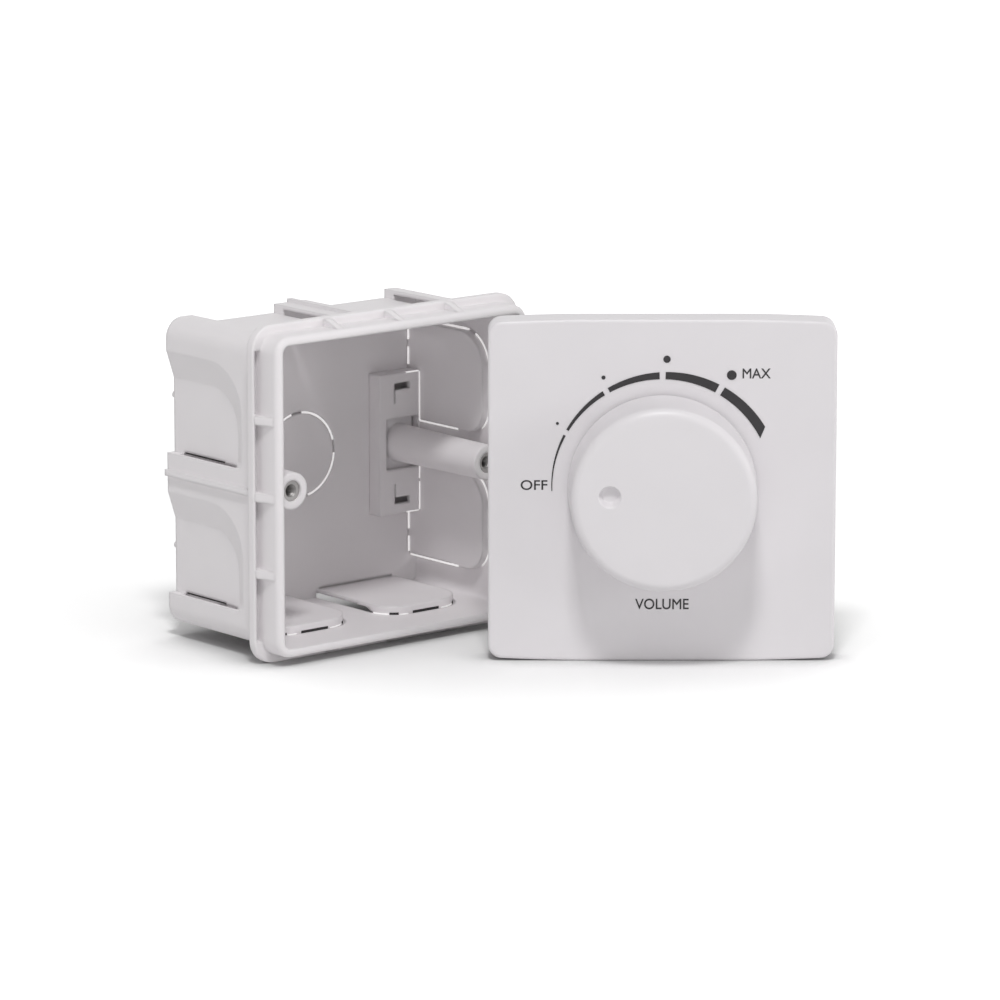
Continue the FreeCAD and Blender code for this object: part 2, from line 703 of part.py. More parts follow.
def winding_tape():
    """The tape wrapped round the winding."""
    half_height = window_sizes()[0] - BOBBIN_WALL - FIT * 3
    thick = winding_thickness()
    return winding_block(thick + TAPE_THICK, half_height).cut(winding_block(thick, half_height + 1))


def bracket_screw_spots():
    """The two screws through the strap's ears into the frame."""
    reach = CORE_WIDTH / 2 + STRAP_THICK + EAR_LENGTH / 2
    return [(-reach, core_middle_z()), (reach, core_middle_z())]


def core_bracket():
    """The steel strap over the iron, with an ear at each side that stands on the frame."""
    mid = core_middle_z()
    back = core_front() + CORE_STACK
    half = CORE_WIDTH / 2
    low = mid - CORE_HEIGHT / 2
    strap_low = mid - STRAP_WIDTH / 2
    strap_high = mid + STRAP_WIDTH / 2
    legs = []
    for side in (-1, 1):
        near, far = sorted((side * half, side * (half + STRAP_THICK)))
        legs.append(box(near, far, FRAME_BACK, back + STRAP_THICK, strap_low, strap_high))
        legs.append(box(near, far, core_front(), back + STRAP_THICK, low, mid))
        near, far = sorted((side * half, side * (half + STRAP_THICK + EAR_LENGTH)))
        legs.append(box(near, far, FRAME_BACK, FRAME_BACK + STRAP_THICK, strap_low, strap_high))
    bridge = box(-half - STRAP_THICK, half + STRAP_THICK, back, back + STRAP_THICK, low, low + CORE_LIMB)
    strap = fuse_all(legs + [bridge])
    for x, z in bracket_screw_spots():
        strap = strap.cut(rod(x, z, FRAME_BACK - 1, FRAME_BACK + STRAP_THICK + 1, SMALL_SCREW_R + FIT * 2))
    return strap


def bracket_screws():
    """Screws that hold the strap, each with a nut on the front of the frame."""
    pieces = []
    for x, z in bracket_screw_spots():
        screw = headed_screw(x, z, FRAME_BACK + STRAP_THICK, FRAME_FRONT - 1.6, 1)
        nut = rod(x, z, FRAME_FRONT - 1.4, FRAME_FRONT, SMALL_HEAD_R)
        pieces.append(fuse_all([screw, nut]))
    return group(pieces)


def board_front():
    """Front face of the circuit board."""
    return FRAME_BACK + PILLAR_LENGTH


def board_middle_z():
    """Height of the circuit board's middle."""
    return AXIS_Z + BOARD_RISE


def board_screw_spots():
    """The two pillars and screws of the circuit board."""
    reach = BOARD_WIDTH / 2 - PILLAR_R - 0.8
    return [(-reach, board_middle_z()), (reach, board_middle_z())]


def terminal_spots():
    """Middle of each terminal."""
    first = -(TERMINAL_COUNT - 1) / 2 * TERMINAL_PITCH
    return [first + TERMINAL_PITCH * number for number in range(TERMINAL_COUNT)]


def circuit_board():
    """The board that carries the terminals."""
    mid = board_middle_z()
    front = board_front()
    board = box(-BOARD_WIDTH / 2, BOARD_WIDTH / 2, front, front + BOARD_THICK,
                mid - BOARD_HEIGHT / 2, mid + BOARD_HEIGHT / 2)
    for x, z in board_screw_spots():
        board = board.cut(rod(x, z, front - 1, front + BOARD_THICK + 1, SMALL_SCREW_R + FIT * 2))
    return board


def board_pillars():
    """Two spacers between the frame and the board, riveted in the frame."""
    pieces = []
    for x, z in board_screw_spots():
        spacer = rod(x, z, FRAME_BACK, board_front(), PILLAR_R)
        rivet = rod(x, z, FRAME_FRONT - 0.8, FRAME_BACK, SMALL_SCREW_R + FIT)
        head = rod(x, z, FRAME_FRONT - 0.8, FRAME_FRONT, SMALL_HEAD_R)
        spacer = fuse_all([spacer, rivet, head])
        pieces.append(spacer.cut(rod(x, z, board_front() - 6.0, board_front() + 1, SMALL_SCREW_R + FIT)))
    return group(pieces)


def board_screws():
    """The screws through the board into the spacers."""
    pieces = []
    for x, z in board_screw_spots():
        pieces.append(headed_screw(x, z, board_front() + BOARD_THICK, board_front() - 5.0, 1))
    return group(pieces)


def terminal_block():
    """The terminal housing: a wire hole from above and a screw hole from behind for each way."""
    mid = board_middle_z()
    front = board_front() + BOARD_THICK
    back = front + TERMINAL_DEPTH
    half = TERMINAL_COUNT * TERMINAL_PITCH / 2
    block = box(-half, half, front, back, mid - TERMINAL_HEIGHT / 2, mid + TERMINAL_HEIGHT / 2)
    room = TERMINAL_PITCH / 2 - TERMINAL_WALL
    for x in terminal_spots():
        block = block.cut(box(x - room, x + room, front + WAY_FRONT, front + WAY_BACK,
                              mid - WAY_DROP, mid + TERMINAL_HEIGHT))
        block = block.cut(rod(x, mid, front + WAY_BACK - 1, back + 1, CLAMP_HEAD_R + 0.15))
    return block


def terminal_clamps():
    """The metal clamp of each way, open upwards for the wire."""
    mid = board_middle_z()
    front = board_front() + BOARD_THICK
    room = TERMINAL_PITCH / 2 - TERMINAL_WALL - FIT
    gap = room - CLAMP_THICK
    pieces = []
    for x in terminal_spots():
        cage = box(x - room, x + room, front + WAY_FRONT + FIT, front + WAY_BACK - FIT,
                   mid - WAY_DROP + FIT, mid + WAY_DROP - 1.0)
        cage = cage.cut(box(x - gap, x + gap, front + WAY_FRONT + CLAMP_THICK, front + WAY_BACK - 1.0,
                            mid - WAY_DROP - 1, mid + WAY_DROP + 1))
        cage = cage.cut(rod(x, mid, front + WAY_BACK - 1.5, front + WAY_BACK + 1, CLAMP_SCREW_R + FIT))
        pieces.append(cage)
    return group(pieces)


def terminal_screws():
    """The clamp screws, slotted heads to the back."""
    mid = board_middle_z()
    front = board_front() + BOARD_THICK
    head_front = front + WAY_BACK + 0.2
    head_back = front + TERMINAL_DEPTH - 1.0
    pieces = []
    for x in terminal_spots():
        shank = rod(x, mid, front + WAY_FRONT + CLAMP_THICK + 1.9, head_front + 0.5, CLAMP_SCREW_R)
        head = rod(x, mid, head_front, head_back, CLAMP_HEAD_R)
        screw = fuse_all([shank, head])
        slot = box(x - CLAMP_HEAD_R - 1, x + CLAMP_HEAD_R + 1, head_back - 0.7, head_back + 1,
                   mid - 0.25, mid + 0.25)
        pieces.append(screw.cut(slot))
    return group(pieces)


def tube_path(points, radius):
    """A wire of round section: straight runs joined by tangent arcs."""
    spots = [Vector(*p) for p in points]
    edges = []
    here = spots[0]
    for before, corner, after in zip(spots, spots[1:], spots[2:]):
        into = (corner - before).normalize()
        out = (after - corner).normalize()
        turn = into.getAngle(out)
        run = 0.42 * min((corner - before).Length, (after - corner).Length)
        bend = run / math.tan(turn / 2)
        start = corner - into * run
        end = corner + out * run
        inward = (out - into).normalize()
        middle = corner + inward * (bend / math.cos(turn / 2) - bend)
        edges.append(Part.LineSegment(here, start).toShape())
        edges.append(Part.Arc(start, middle, end).toShape())
        here = end
    edges.append(Part.LineSegment(here, spots[-1]).toShape())
    path = Part.Wire(edges)
    first = (spots[1] - spots[0]).normalize()
    section = Part.Wire([Part.Circle(spots[0], first, radius).toShape()])
    return path.makePipeShell([section], True, False)


def wire_start():
    """Back face of the taped winding, and the top of its straight side."""
    back = core_front() + CORE_STACK + BOBBIN_WALL + FIT + winding_thickness() + TAPE_THICK
    return back, core_middle_z() + window_sizes()[0] - BOBBIN_WALL - FIT * 3


def tap_wires():
    """Wires from the winding's taps to four of the switch's lugs, each held at both ends."""
    pieces = []
    back, top = wire_start()
    lug_back = WAFER_BACK + LUG_TAIL
    out = back + TAP_BOW
    for number, (x, z) in enumerate(lug_spots()[1:5]):
        start_x = TAP_PITCH * (number - 1.5)
        points = [(start_x, back, top - 3.0), (start_x, out, top - 3.0), (x, out, z), (x, lug_back, z)]
        pieces.append(tube_path(points, WIRE_R))
    return group(pieces)


def line_wires():
    """Two wires from the winding and one from the switch to the board, each held at both ends."""
    back, top = wire_start()
    lug_back = WAFER_BACK + LUG_TAIL
    out = back + TAP_BOW
    board_back = board_front() + BOARD_THICK
    solder_z = board_middle_z() - BOARD_HEIGHT / 2 + 1.2
    pieces = []
    for side in (-1, 1):
        start_x = side * (TAP_PITCH * 1.5 + 1.6)
        target = side * TERMINAL_PITCH * 1.5
        wide = side * (HOUSING_R + 1.8)
        points = [(start_x, back, top - 7.0), (start_x, out, top - 7.0), (wide, out, top + 5.0),
                  (wide, out, solder_z - 7.0), (target, board_back + 5.0, solder_z),
                  (target, board_back, solder_z)]
        pieces.append(tube_path(points, WIRE_R))
    x, z = lug_spots()[5]
    near = lug_back + 2.8
    wide = HOUSING_R - 2.2
    points = [(x, lug_back, z), (x, near, z), (-wide, near, z + 5.0), (-wide, near, solder_z - 3.0),
              (-TERMINAL_PITCH / 2, board_back + 4.0, solder_z), (-TERMINAL_PITCH / 2, board_back, solder_z)]
    pieces.append(tube_path(points, WIRE_R))
    return group(pieces)


def place_in_box(shape):
    """Turn a piece of the back box and set it beside the control."""
    shape.rotate(Vector(0, 0, 0), Vector(0, 0, 1), BOX_YAW)
    shape.translate(Vector(BOX_X, BOX_Y, BOX_MIDDLE_Z))
    return shape


def panel_outline(start, far, front, edge, arc, height):
    """Outline of one knockout seen from outside, open at the rear, at a given height along Z.

    Edge is the corner radius beside the ledge at start, arc the one at the far side."""
    rear = POST_LENGTH + 2
    bend = 1 - math.sqrt(0.5)
    spots = [
        [(start, rear), (start, front + edge)],
        [(start, front + edge), (start + edge * bend, front + edge * bend), (start + edge, front)],
        [(start + edge, front), (far - arc, front)],
        [(far - arc, front), (far - arc * bend, front + arc * bend), (far, front + arc)],
        [(far, front + arc), (far, rear)],
        [(far, rear), (start, rear)],
    ]
    edges = []
    for item in spots:
        points = [Vector(p[0], p[1], height) for p in item]
        if len(points) == 2:
            edges.append(Part.LineSegment(points[0], points[1]).toShape())
        else:
            edges.append(Part.Arc(points[0], points[1], points[2]).toShape())
    return Part.Wire(edges)


def panel_recess(start):
    """The space cut out of the wall from outside, with a soft slope at its far side and front."""
    outer = BODY_SIZE / 2
    far = start + PANEL_WIDTH
    top = panel_outline(start, far, PANEL_FRONT, PANEL_EDGE, PANEL_ARC, outer)
    bottom = panel_outline(start, far - PANEL_SLOPE, PANEL_FRONT + PANEL_RAMP, PANEL_EDGE,
                           PANEL_ARC - PANEL_SLOPE * 0.4, outer - PANEL_DEEP)
    block = Part.makeLoft([bottom, top], True, True)
    return block.fuse(Part.Face(top).extrude(Vector(0, 0, 4))).removeSplitter()


def knockout_outline(start, grow, height):
    """Outline of the raised back of a knockout, grown outwards except at the ledge."""
    return panel_outline(start, start + PANEL_WIDTH + grow, KNOCKOUT_FRONT - grow, KNOCKOUT_CORNER + grow,
                         KNOCKOUT_ARC + grow, height)


def panel_back_height():
    """Height of a knockout's raised back over the box's middle."""
    return BODY_SIZE / 2 - PANEL_DEEP - PANEL_SKIN


def panel_back(start):
    """The raised back of a knockout, inside the box."""
    low = panel_back_height()
    return Part.Face(knockout_outline(start, 0, low)).extrude(Vector(0, 0, BODY_SIZE / 2 - 0.5 - low))


def knockout_groove(start):
    """The thin groove round the raised back, cut from inside so that the outside stays smooth."""
    low = panel_back_height() - 1.0
    depth = BODY_SIZE / 2 - GROOVE_SKIN - low
    outside = Part.Face(knockout_outline(start, SLIT_WIDTH, low)).extrude(Vector(0, 0, depth))
    inside = Part.Face(knockout_outline(start, 0, low)).extrude(Vector(0, 0, depth))
    keep = box(start + PANEL_EDGE, start + PANEL_WIDTH + 1, 0, BODY_DEPTH - BACK_WALL, low, low + depth)
    return outside.cut(inside).common(keep)


def rear_groove(start):
    """The groove in the back wall along a knockout's rear edge."""
    rear = BODY_DEPTH - BACK_WALL
    low = panel_back_height()
    return box(start + 1.0, start + PANEL_WIDTH - 1.0, rear - 0.01, rear + BACK_WALL / 2,
               low - SLIT_WIDTH, low)


def ledge_slit(start):
    """The slot through the wall along the ledge."""
    rear = BODY_DEPTH - BACK_WALL
    low = panel_back_height() - 1.0
    return box(start - 0.01, start + SLIT_HEIGHT, rear - SLIT_LENGTH, rear - 0.5, low,
               BODY_SIZE / 2 - PANEL_DEEP + 0.3)


def wall_features(turn, hand):
    """Raised backs and cuts for one wall, turned about Y; hand -1 is the mirrored wall."""
    backs = []
    cuts = []
    for start in (PANEL_START, -PANEL_START - PANEL_WIDTH):
        backs.append(panel_back(start))
        cuts.extend([panel_recess(start), knockout_groove(start), rear_groove(start), ledge_slit(start)])
    if hand > 0:
        backs = [shape.mirror(Vector(0, 0, 0), Vector(1, 0, 0)) for shape in backs]
        cuts = [shape.mirror(Vector(0, 0, 0), Vector(1, 0, 0)) for shape in cuts]
    for shape in backs + cuts:
        shape.rotate(Vector(0, 0, 0), Vector(0, 1, 0), turn)
    return backs, cuts


def rounded_edges(block, y, radius):
    """Rounds the edges that lie at depth y."""
    ring_edges = [edge for edge in block.Edges
                  if edge.BoundBox.YLength < 1e-6 and abs(edge.BoundBox.YMin - y) < 1e-6]
    return block.makeFillet(radius, ring_edges)


def gusset(offset):
    """One triangular web between the flange and the collar, on the top wall."""
    root = COLLAR_SIZE / 2 - 0.5
    tip = FLANGE_SIZE / 2
    side = offset - GUSSET_WIDTH / 2
    foot = FLANGE_FRONT + CHANNEL_DEPTH + 0.3
    profile = [(COLLAR_EDGE, root), (foot, root), (foot, tip - FLANGE_EDGE),
               (FLANGE_FRONT - 0.6, tip - FLANGE_EDGE), (COLLAR_EDGE, root + 0.6)]
    spots = [Vector(side, y, z) for y, z in profile]
    face = Part.Face(Part.makePolygon(spots + spots[:1]))
    return face.extrude(Vector(GUSSET_WIDTH, 0, 0))


def flange_channel(side):
    """The channel between the collar and the flange's lip, down one upright side."""
    ends = sorted((side * COLLAR_SIZE / 2, side * (FLANGE_SIZE / 2 - CHANNEL_LIP)))
    half = FLANGE_SIZE / 2 - FLANGE_CORNER
    return box(ends[0], ends[1], FLANGE_FRONT - 1, FLANGE_FRONT + CHANNEL_DEPTH, -half, half)


def fixed_pillar():
    """The screw pillar moulded on the left of the box."""
    return rod(-PILLAR_X, 0, FIXED_PILLAR_START, BODY_DEPTH - BACK_WALL + 0.5, FIXED_PILLAR_R,
               FIXED_PILLAR_ROOT_R)


def back_box():
    """The moulded box: collar, flange, body with recessed knockouts, pillar and gussets."""
    collar = rounded_prism(COLLAR_SIZE, COLLAR_SIZE, COLLAR_CORNER, 0, FLANGE_FRONT + 1)
    collar = rounded_edges(collar, 0, COLLAR_EDGE)
    flange_back = FLANGE_FRONT + FLANGE_THICK
    flange = rounded_prism(FLANGE_SIZE, FLANGE_SIZE, FLANGE_CORNER, FLANGE_FRONT, flange_back)
    flange = rounded_edges(rounded_edges(flange, FLANGE_FRONT, FLANGE_EDGE), flange_back, FLANGE_EDGE)
    body = rounded_prism(BODY_SIZE, BODY_SIZE, BODY_CORNER, FLANGE_FRONT, BODY_DEPTH)
    rear = rounded_prism(BODY_SIZE, BODY_SIZE, BODY_CORNER, BODY_DEPTH - 0.5, POST_LENGTH)
    rear = rear.cut(rounded_prism(BODY_SIZE - 6, BODY_SIZE - 6, 2.0, BODY_DEPTH - 1, POST_LENGTH + 1))
    block = fuse_all([collar, flange, body, rear])
    cavity = rounded_prism(OPENING_SIZE, OPENING_SIZE, CAVITY_CORNER, -1, BODY_DEPTH - BACK_WALL)
    block = block.cut([cavity, flange_channel(-1), flange_channel(1)])
    extras = []
    cuts = []
    room = rounded_prism(BODY_SIZE - 1, BODY_SIZE - 1, BODY_CORNER - 1, 1, BODY_DEPTH)
    for turn, hand in ((0, 1), (90, 1), (180, 1), (270, -1)):
        backs, wall_cuts = wall_features(turn, hand)
        extras.extend(back.common(room) for back in backs)
        cuts.extend(wall_cuts)
        rib = box(-RIB_WIDTH / 2, RIB_WIDTH / 2, FLANGE_FRONT + 1, POST_LENGTH, BODY_SIZE / 2 - 1,
                  BODY_SIZE / 2 + RIB_PROUD)
        webs = [rib] + [gusset(offset) for offset in (-GUSSET_PITCH, 0, GUSSET_PITCH)]
        for web in webs:
            web.rotate(Vector(0, 0, 0), Vector(0, 1, 0), turn)
        extras.extend(webs)
    for side in (-1, 1):
        extras.append(rod(-BODY_SIZE / 2 + 3.5, side * GUSSET_PITCH, BODY_DEPTH - 0.5,
                          POST_LENGTH + NUB_LENGTH, NUB_R))
    extras.append(fixed_pillar())
    block = block.fuse(extras)
    block = block.cut(cuts)
    block = block.cut(rod(-PILLAR_X, 0, FIXED_PILLAR_START - 1, FIXED_PILLAR_START + INSERT_HOLE, INSERT_R))
    return block.cut(round_knockout_groove())


def round_knockout_groove():
    """Four arc grooves in the back wall round the central knockout."""
    rear = BODY_DEPTH - BACK_WALL
    track = ring(0, 0, rear - 1, BODY_DEPTH - GROOVE_SKIN, ROUND_KNOCKOUT_R + SLIT_WIDTH / 2,
                 ROUND_KNOCKOUT_R - SLIT_WIDTH / 2)
    for turn in (10, 100, 190, 280):
        bridge = box(0, ROUND_KNOCKOUT_R + 2, rear - 2, BODY_DEPTH + 2, -1.0, 1.0)
        bridge.rotate(Vector(0, 0, 0), Vector(0, 1, 0), turn)
        track = track.cut(bridge)
    return track


def threaded_insert(x, z, front):
    """A metal insert with its bore."""
    return ring(x, z, front, front + INSERT_LENGTH, INSERT_R, INSERT_BORE_R)


def fixed_pillar_insert():
    """The metal thread in the fixed pillar."""
    return threaded_insert(-PILLAR_X, 0, FIXED_PILLAR_START + 0.6)


def adjustable_pillar_insert():
    """The metal thread in the sliding pillar."""
    return threaded_insert(PILLAR_X, 0, SLIDE_PILLAR_START + 0.6)


def retainer_front():
    """Front face of the retainer plate."""
    return BODY_DEPTH - BACK_WALL - RETAINER_PROUD


def pillar_retainer():
    """The clip-in plate that traps the sliding pillar's foot against the back wall.

    Each latch is a window with a slit beside its tongue."""
    front = retainer_front()
    back = BODY_DEPTH - BACK_WALL
    slot_x = SLIDE_PILLAR_ROOT_R + SLIDE_CLEARANCE
    x0 = PILLAR_X - slot_x - RETAINER_STRIP
    x1 = RETAINER_EDGE
    half = RETAINER_HEIGHT / 2
    plate = box(x0, x1, front, back, -half, half)
    plate = plate.cut(box(x0 + RETAINER_WALL, PILLAR_X + slot_x, front + RETAINER_SKIN, back + 1,
                          -half + RETAINER_WALL, half - RETAINER_WALL))
    slot_z = SLIDE_PILLAR_ROOT_R + SLIDE_TRAVEL + SLIDE_CLEARANCE
    plate = plate.cut(box(PILLAR_X - slot_x, PILLAR_X + slot_x, front - 1, back, -slot_z, slot_z))
    for side in (-1, 1):
        window = box(PILLAR_X - LATCH_WIDTH / 2, PILLAR_X + LATCH_WIDTH / 2,
                     front - 1, front + RETAINER_SKIN + 1,
                     side * LATCH_REACH - LATCH_HEIGHT / 2, side * LATCH_REACH + LATCH_HEIGHT / 2)
        ends = sorted((side * LATCH_REACH, side * (LATCH_REACH - LATCH_HEIGHT / 2 - LATCH_TONGUE)))
        slit = box(PILLAR_X - LATCH_WIDTH / 2, PILLAR_X - LATCH_WIDTH / 2 + LATCH_SLIT,
                   front - 1, front + RETAINER_SKIN + 1, ends[0], ends[1])
        plate = plate.cut([window, slit])
    return plate


def adjustable_pillar():
    """The tapered pillar with a foot that slides up and down behind the retainer."""
    back = BODY_DEPTH - BACK_WALL
    foot_front = retainer_front() + RETAINER_SKIN + SLIDE_CLEARANCE
    tube = rod(PILLAR_X, 0, SLIDE_PILLAR_START, back - SLIDE_CLEARANCE, SLIDE_PILLAR_R, SLIDE_PILLAR_ROOT_R)
    foot_half = SLIDE_PILLAR_ROOT_R + SLIDE_TRAVEL + SLIDE_CLEARANCE + 2.5
    foot_x = SLIDE_PILLAR_ROOT_R - 0.2
    foot = box(PILLAR_X - foot_x, PILLAR_X + foot_x, foot_front, back - SLIDE_CLEARANCE,
               -foot_half, foot_half)
    pillar = fuse_all([tube, foot])
    return pillar.cut(rod(PILLAR_X, 0, SLIDE_PILLAR_START - 1, SLIDE_PILLAR_START + INSERT_HOLE, INSERT_R))


CONTROL_PIECES = (
    cover_plate, scale_segments, scale_dots, knob, knob_clip, switch_shaft, shaft_circlip, mounting_frame,
    lock_washer, switch_nut, switch_bush, switch_housing, detent_rotor, detent_ball, detent_spring, wafer,
    fixed_contacts, wiper, switch_screws, transformer_core, bobbin, winding, winding_tape, core_bracket,
    bracket_screws, circuit_board, board_pillars, board_screws, terminal_block, terminal_clamps,
    terminal_screws, tap_wires, line_wires)
BOX_PIECES = (back_box, fixed_pillar_insert, adjustable_pillar_insert, pillar_retainer, adjustable_pillar)

os.makedirs("parts", exist_ok=True)
for make in CONTROL_PIECES:
    piece = make()
    print(make.__name__, len(piece.Solids), round(piece.Volume, 2), piece.isValid())
    piece.exportStep("parts/" + make.__name__ + ".step")
for make in BOX_PIECES:
    piece = place_in_box(make())
    print(make.__name__, len(piece.Solids), round(piece.Volume, 2), piece.isValid())
    piece.exportStep("parts/" + make.__name__ + ".step")
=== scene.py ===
# %% [markdown]
# # Speaker volume control beside its back box
#
# The real object is a rotary volume control for loudspeakers, standing beside the open plastic
# box that holds it in a wall. The CAD model already has every piece at its own size and place.
# This script loads it, makes again only what needs a finer mesh, adds what the CAD doesn't have,
# gives each piece a finish, and sets up a small photo studio. Sizes in the cells are in
# millimetres and become metres when a mesh is made.

# %% [markdown]
# ## The frame
#
# The frame is the CAD model as Blender objects, one for each piece. The pieces could be drawn
# again by eye, but they would drift from the CAD's sizes. Loading the frame keeps them exact.

# %% Load the frame
import json
import math

import bpy
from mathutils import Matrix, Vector


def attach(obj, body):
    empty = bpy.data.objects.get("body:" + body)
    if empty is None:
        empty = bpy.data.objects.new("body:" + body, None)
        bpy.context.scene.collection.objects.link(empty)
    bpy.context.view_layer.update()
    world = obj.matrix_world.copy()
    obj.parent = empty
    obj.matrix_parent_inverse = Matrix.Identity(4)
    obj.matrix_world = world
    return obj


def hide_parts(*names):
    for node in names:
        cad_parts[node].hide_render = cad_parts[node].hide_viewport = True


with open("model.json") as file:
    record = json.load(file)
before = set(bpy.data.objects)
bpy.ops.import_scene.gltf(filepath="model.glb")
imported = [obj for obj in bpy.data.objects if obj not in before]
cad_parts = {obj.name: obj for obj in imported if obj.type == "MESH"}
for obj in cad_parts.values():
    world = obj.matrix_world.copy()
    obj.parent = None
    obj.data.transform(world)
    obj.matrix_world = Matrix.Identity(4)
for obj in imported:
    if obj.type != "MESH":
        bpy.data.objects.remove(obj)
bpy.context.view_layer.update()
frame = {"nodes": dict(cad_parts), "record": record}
nodes = frame["nodes"]
MM = 0.001
ROOT = "control_and_box"
TURNING = "knob_and_shaft"


# %% [markdown]
# ## Meshes from loops
#
# The cover, the knob and the thin strips are shells whose outline changes along the way. Such a
# shell can be cut from primitives with booleans, or grown under a subdivision surface. Here each
# one is a list of closed loops with the same number of points, joined loop to loop. The points
# then lie exactly where a surface bends, and the faces between them are clean ones with four
# sides.

# %% A mesh object
def in_scene(name, data):
    """An object that shows the data, linked into the scene."""
    made = bpy.data.objects.new(name, data)
    bpy.context.scene.collection.objects.link(made)
    return made


def new_mesh(name, points, faces):
    """A mesh object from points in millimetres."""
    mesh = bpy.data.meshes.new(name)
    mesh.from_pydata([(x * MM, y * MM, z * MM) for x, y, z in points], [], faces)
    mesh.validate()
    mesh.update()
    return in_scene(name, mesh)


print("one unit of the sizes is", MM, "m")


# %% A skin over loops
def skin(loops, closed=True):
    """Points and faces of a tube through loops; closed joins the last loop to the first."""
    count = len(loops[0])
    points = [p for loop in loops for p in loop]
    faces = []
    last = len(loops) if closed else len(loops) - 1
    for i in range(last):
        a = i * count
        b = (i + 1) % len(loops) * count
        for j in range(count):
            k = (j + 1) % count
            faces.append((a + j, a + k, b + k, b + j))
    return points, faces


SQUARE = [(0, 0, 0), (1, 0, 0), (1, 0, 1), (0, 0, 1)]
print("an open skin over two squares has", len(skin([SQUARE, SQUARE], False)[1]), "faces")

# %% [markdown]
# ## Smooth faces, crisp edges
#
# Moulded plastic shows no facets, yet a thin line of light runs along its edges. Smooth shading
# hides the facets, but it also smears light over the flat faces. More faces would cure that at a
# price. Marking every edge over an angle as sharp, and weighting the normals by the size of the
# faces, keeps flat fronts flat on the mesh as it is.

# %% Smoothing
MADE_ANGLE = 35.0
NORMAL_WEIGHT = 90


def smooth(made, angle):
    """Smooth shading, with edges over the angle in degrees kept crisp."""
    for face in made.data.polygons:
        face.use_smooth = True
    made.data.set_sharp_from_angle(angle=math.radians(angle))


def soften(made, angle=MADE_ANGLE):
    """Smooth shading that leaves flat faces flat."""
    smooth(made, angle)
    weighted = made.modifiers.new("even_normals", "WEIGHTED_NORMAL")
    weighted.keep_sharp = True
    weighted.weight = NORMAL_WEIGHT


print("edges stay crisp over", MADE_ANGLE, "degrees")


# %% [markdown]
# ## Dressing a piece
#
# A piece of the real object has one finish and moves with one body. Blender can parent an object
# by hand, and here each body is an empty that its pieces are parented to.
# So one function gives a made piece both its material and its ride.

# %% Dressing
def paint(made, material):
    """Gives an object one material."""
    made.data.materials.clear()
    made.data.materials.append(material)


def dress(made, material, body):
    """Gives a made piece its material and lets it ride on a body."""
    paint(made, material)
    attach(made, body)


print("pieces ride on", ROOT, "or", TURNING, "or the sliding pillar")


# %% [markdown]
# ## Starting a material
#
# White thermoplastic, plated steel, brass, copper wire and stacked iron each answer light in
# their own way. A picture could be wrapped round each piece, but pictures need unfolding and
# stretch at corners. These finishes are made of noise in the object's own space instead, so they
# fit every shape. All of them start from the same shader.

# %% A material with its shader
def plain_material(name, colour, roughness=0.5, metallic=0.0, specular=0.5):
    """A material with its shader, ready for nodes to be added."""
    material = bpy.data.materials.new(name)
    material.use_nodes = True
    shader = material.node_tree.nodes["Principled BSDF"]
    shader.inputs["Base Color"].default_value = (*colour, 1.0)
    shader.inputs["Roughness"].default_value = roughness
    shader.inputs["Metallic"].default_value = metallic
    shader.inputs["Specular IOR Level"].default_value = specular
    return material, material.node_tree, shader


def noise(tree, scale, detail=3.0, stretch=(1.0, 1.0, 1.0)):
    """Noise in the object's own space, with its grain stretched along the axes."""
    place = tree.nodes.new("ShaderNodeTexCoord")
    mapping = tree.nodes.new("ShaderNodeMapping")
    mapping.inputs["Scale"].default_value = stretch
    texture = tree.nodes.new("ShaderNodeTexNoise")
    texture.inputs["Scale"].default_value = scale
    texture.inputs["Detail"].default_value = detail
    tree.links.new(place.outputs["Object"], mapping.inputs["Vector"])
    tree.links.new(mapping.outputs["Vector"], texture.inputs["Vector"])
    return texture.outputs["Fac"]


print("materials start from the principled shader")

# %% [markdown]
# ## Uneven colour, gloss and grain
#
# No real surface has one colour and one gloss all over. Painting the unevenness by hand takes an
# unfolded mesh. A noise field can drive all three effects: through a ramp it becomes two tones,
# through a new range it becomes roughness, and as a height it becomes a fine grain. The grain
# step also rounds the edges in the shader, because the CAD's edges are perfectly sharp.

# %% Two tones
TONE_PLACES = (0.3, 0.7)


def vary_colour(tree, shader, field, dark, light):
    """Base colour between two tones by a noise field."""
    ramp = tree.nodes.new("ShaderNodeValToRGB")
    for stop, place, tone in zip(ramp.color_ramp.elements, TONE_PLACES, (dark, light)):
        stop.position = place
        stop.color = (*tone, 1.0)
    tree.links.new(field, ramp.inputs["Fac"])
    tree.links.new(ramp.outputs["Color"], shader.inputs["Base Color"])


def two_tones(colour, spread):
    """A darker and a lighter tone of a colour."""
    return [c * (1 - spread) for c in colour], [min(1.0, c * (1 + spread)) for c in colour]


print("tones of mid grey", two_tones((0.5,), 0.02))


# %% Roughness
def remap(tree, value, source, target, curve="LINEAR"):
    """A value moved from one range into another."""
    spread = tree.nodes.new("ShaderNodeMapRange")
    spread.interpolation_type = curve
    spread.inputs["From Min"].default_value = source[0]
    spread.inputs["From Max"].default_value = source[1]
    spread.inputs["To Min"].default_value = target[0]
    spread.inputs["To Max"].default_value = target[1]
    tree.links.new(value, spread.inputs["Value"])
    return spread.outputs["Result"]


def vary_roughness(tree, shader, field, low, high):
    """Roughness between two values by a noise field."""
    tree.links.new(remap(tree, field, (0.0, 1.0), (low, high)), shader.inputs["Roughness"])


print("roughness runs between two values")

# %% Grain
EDGE_SAMPLES = 8


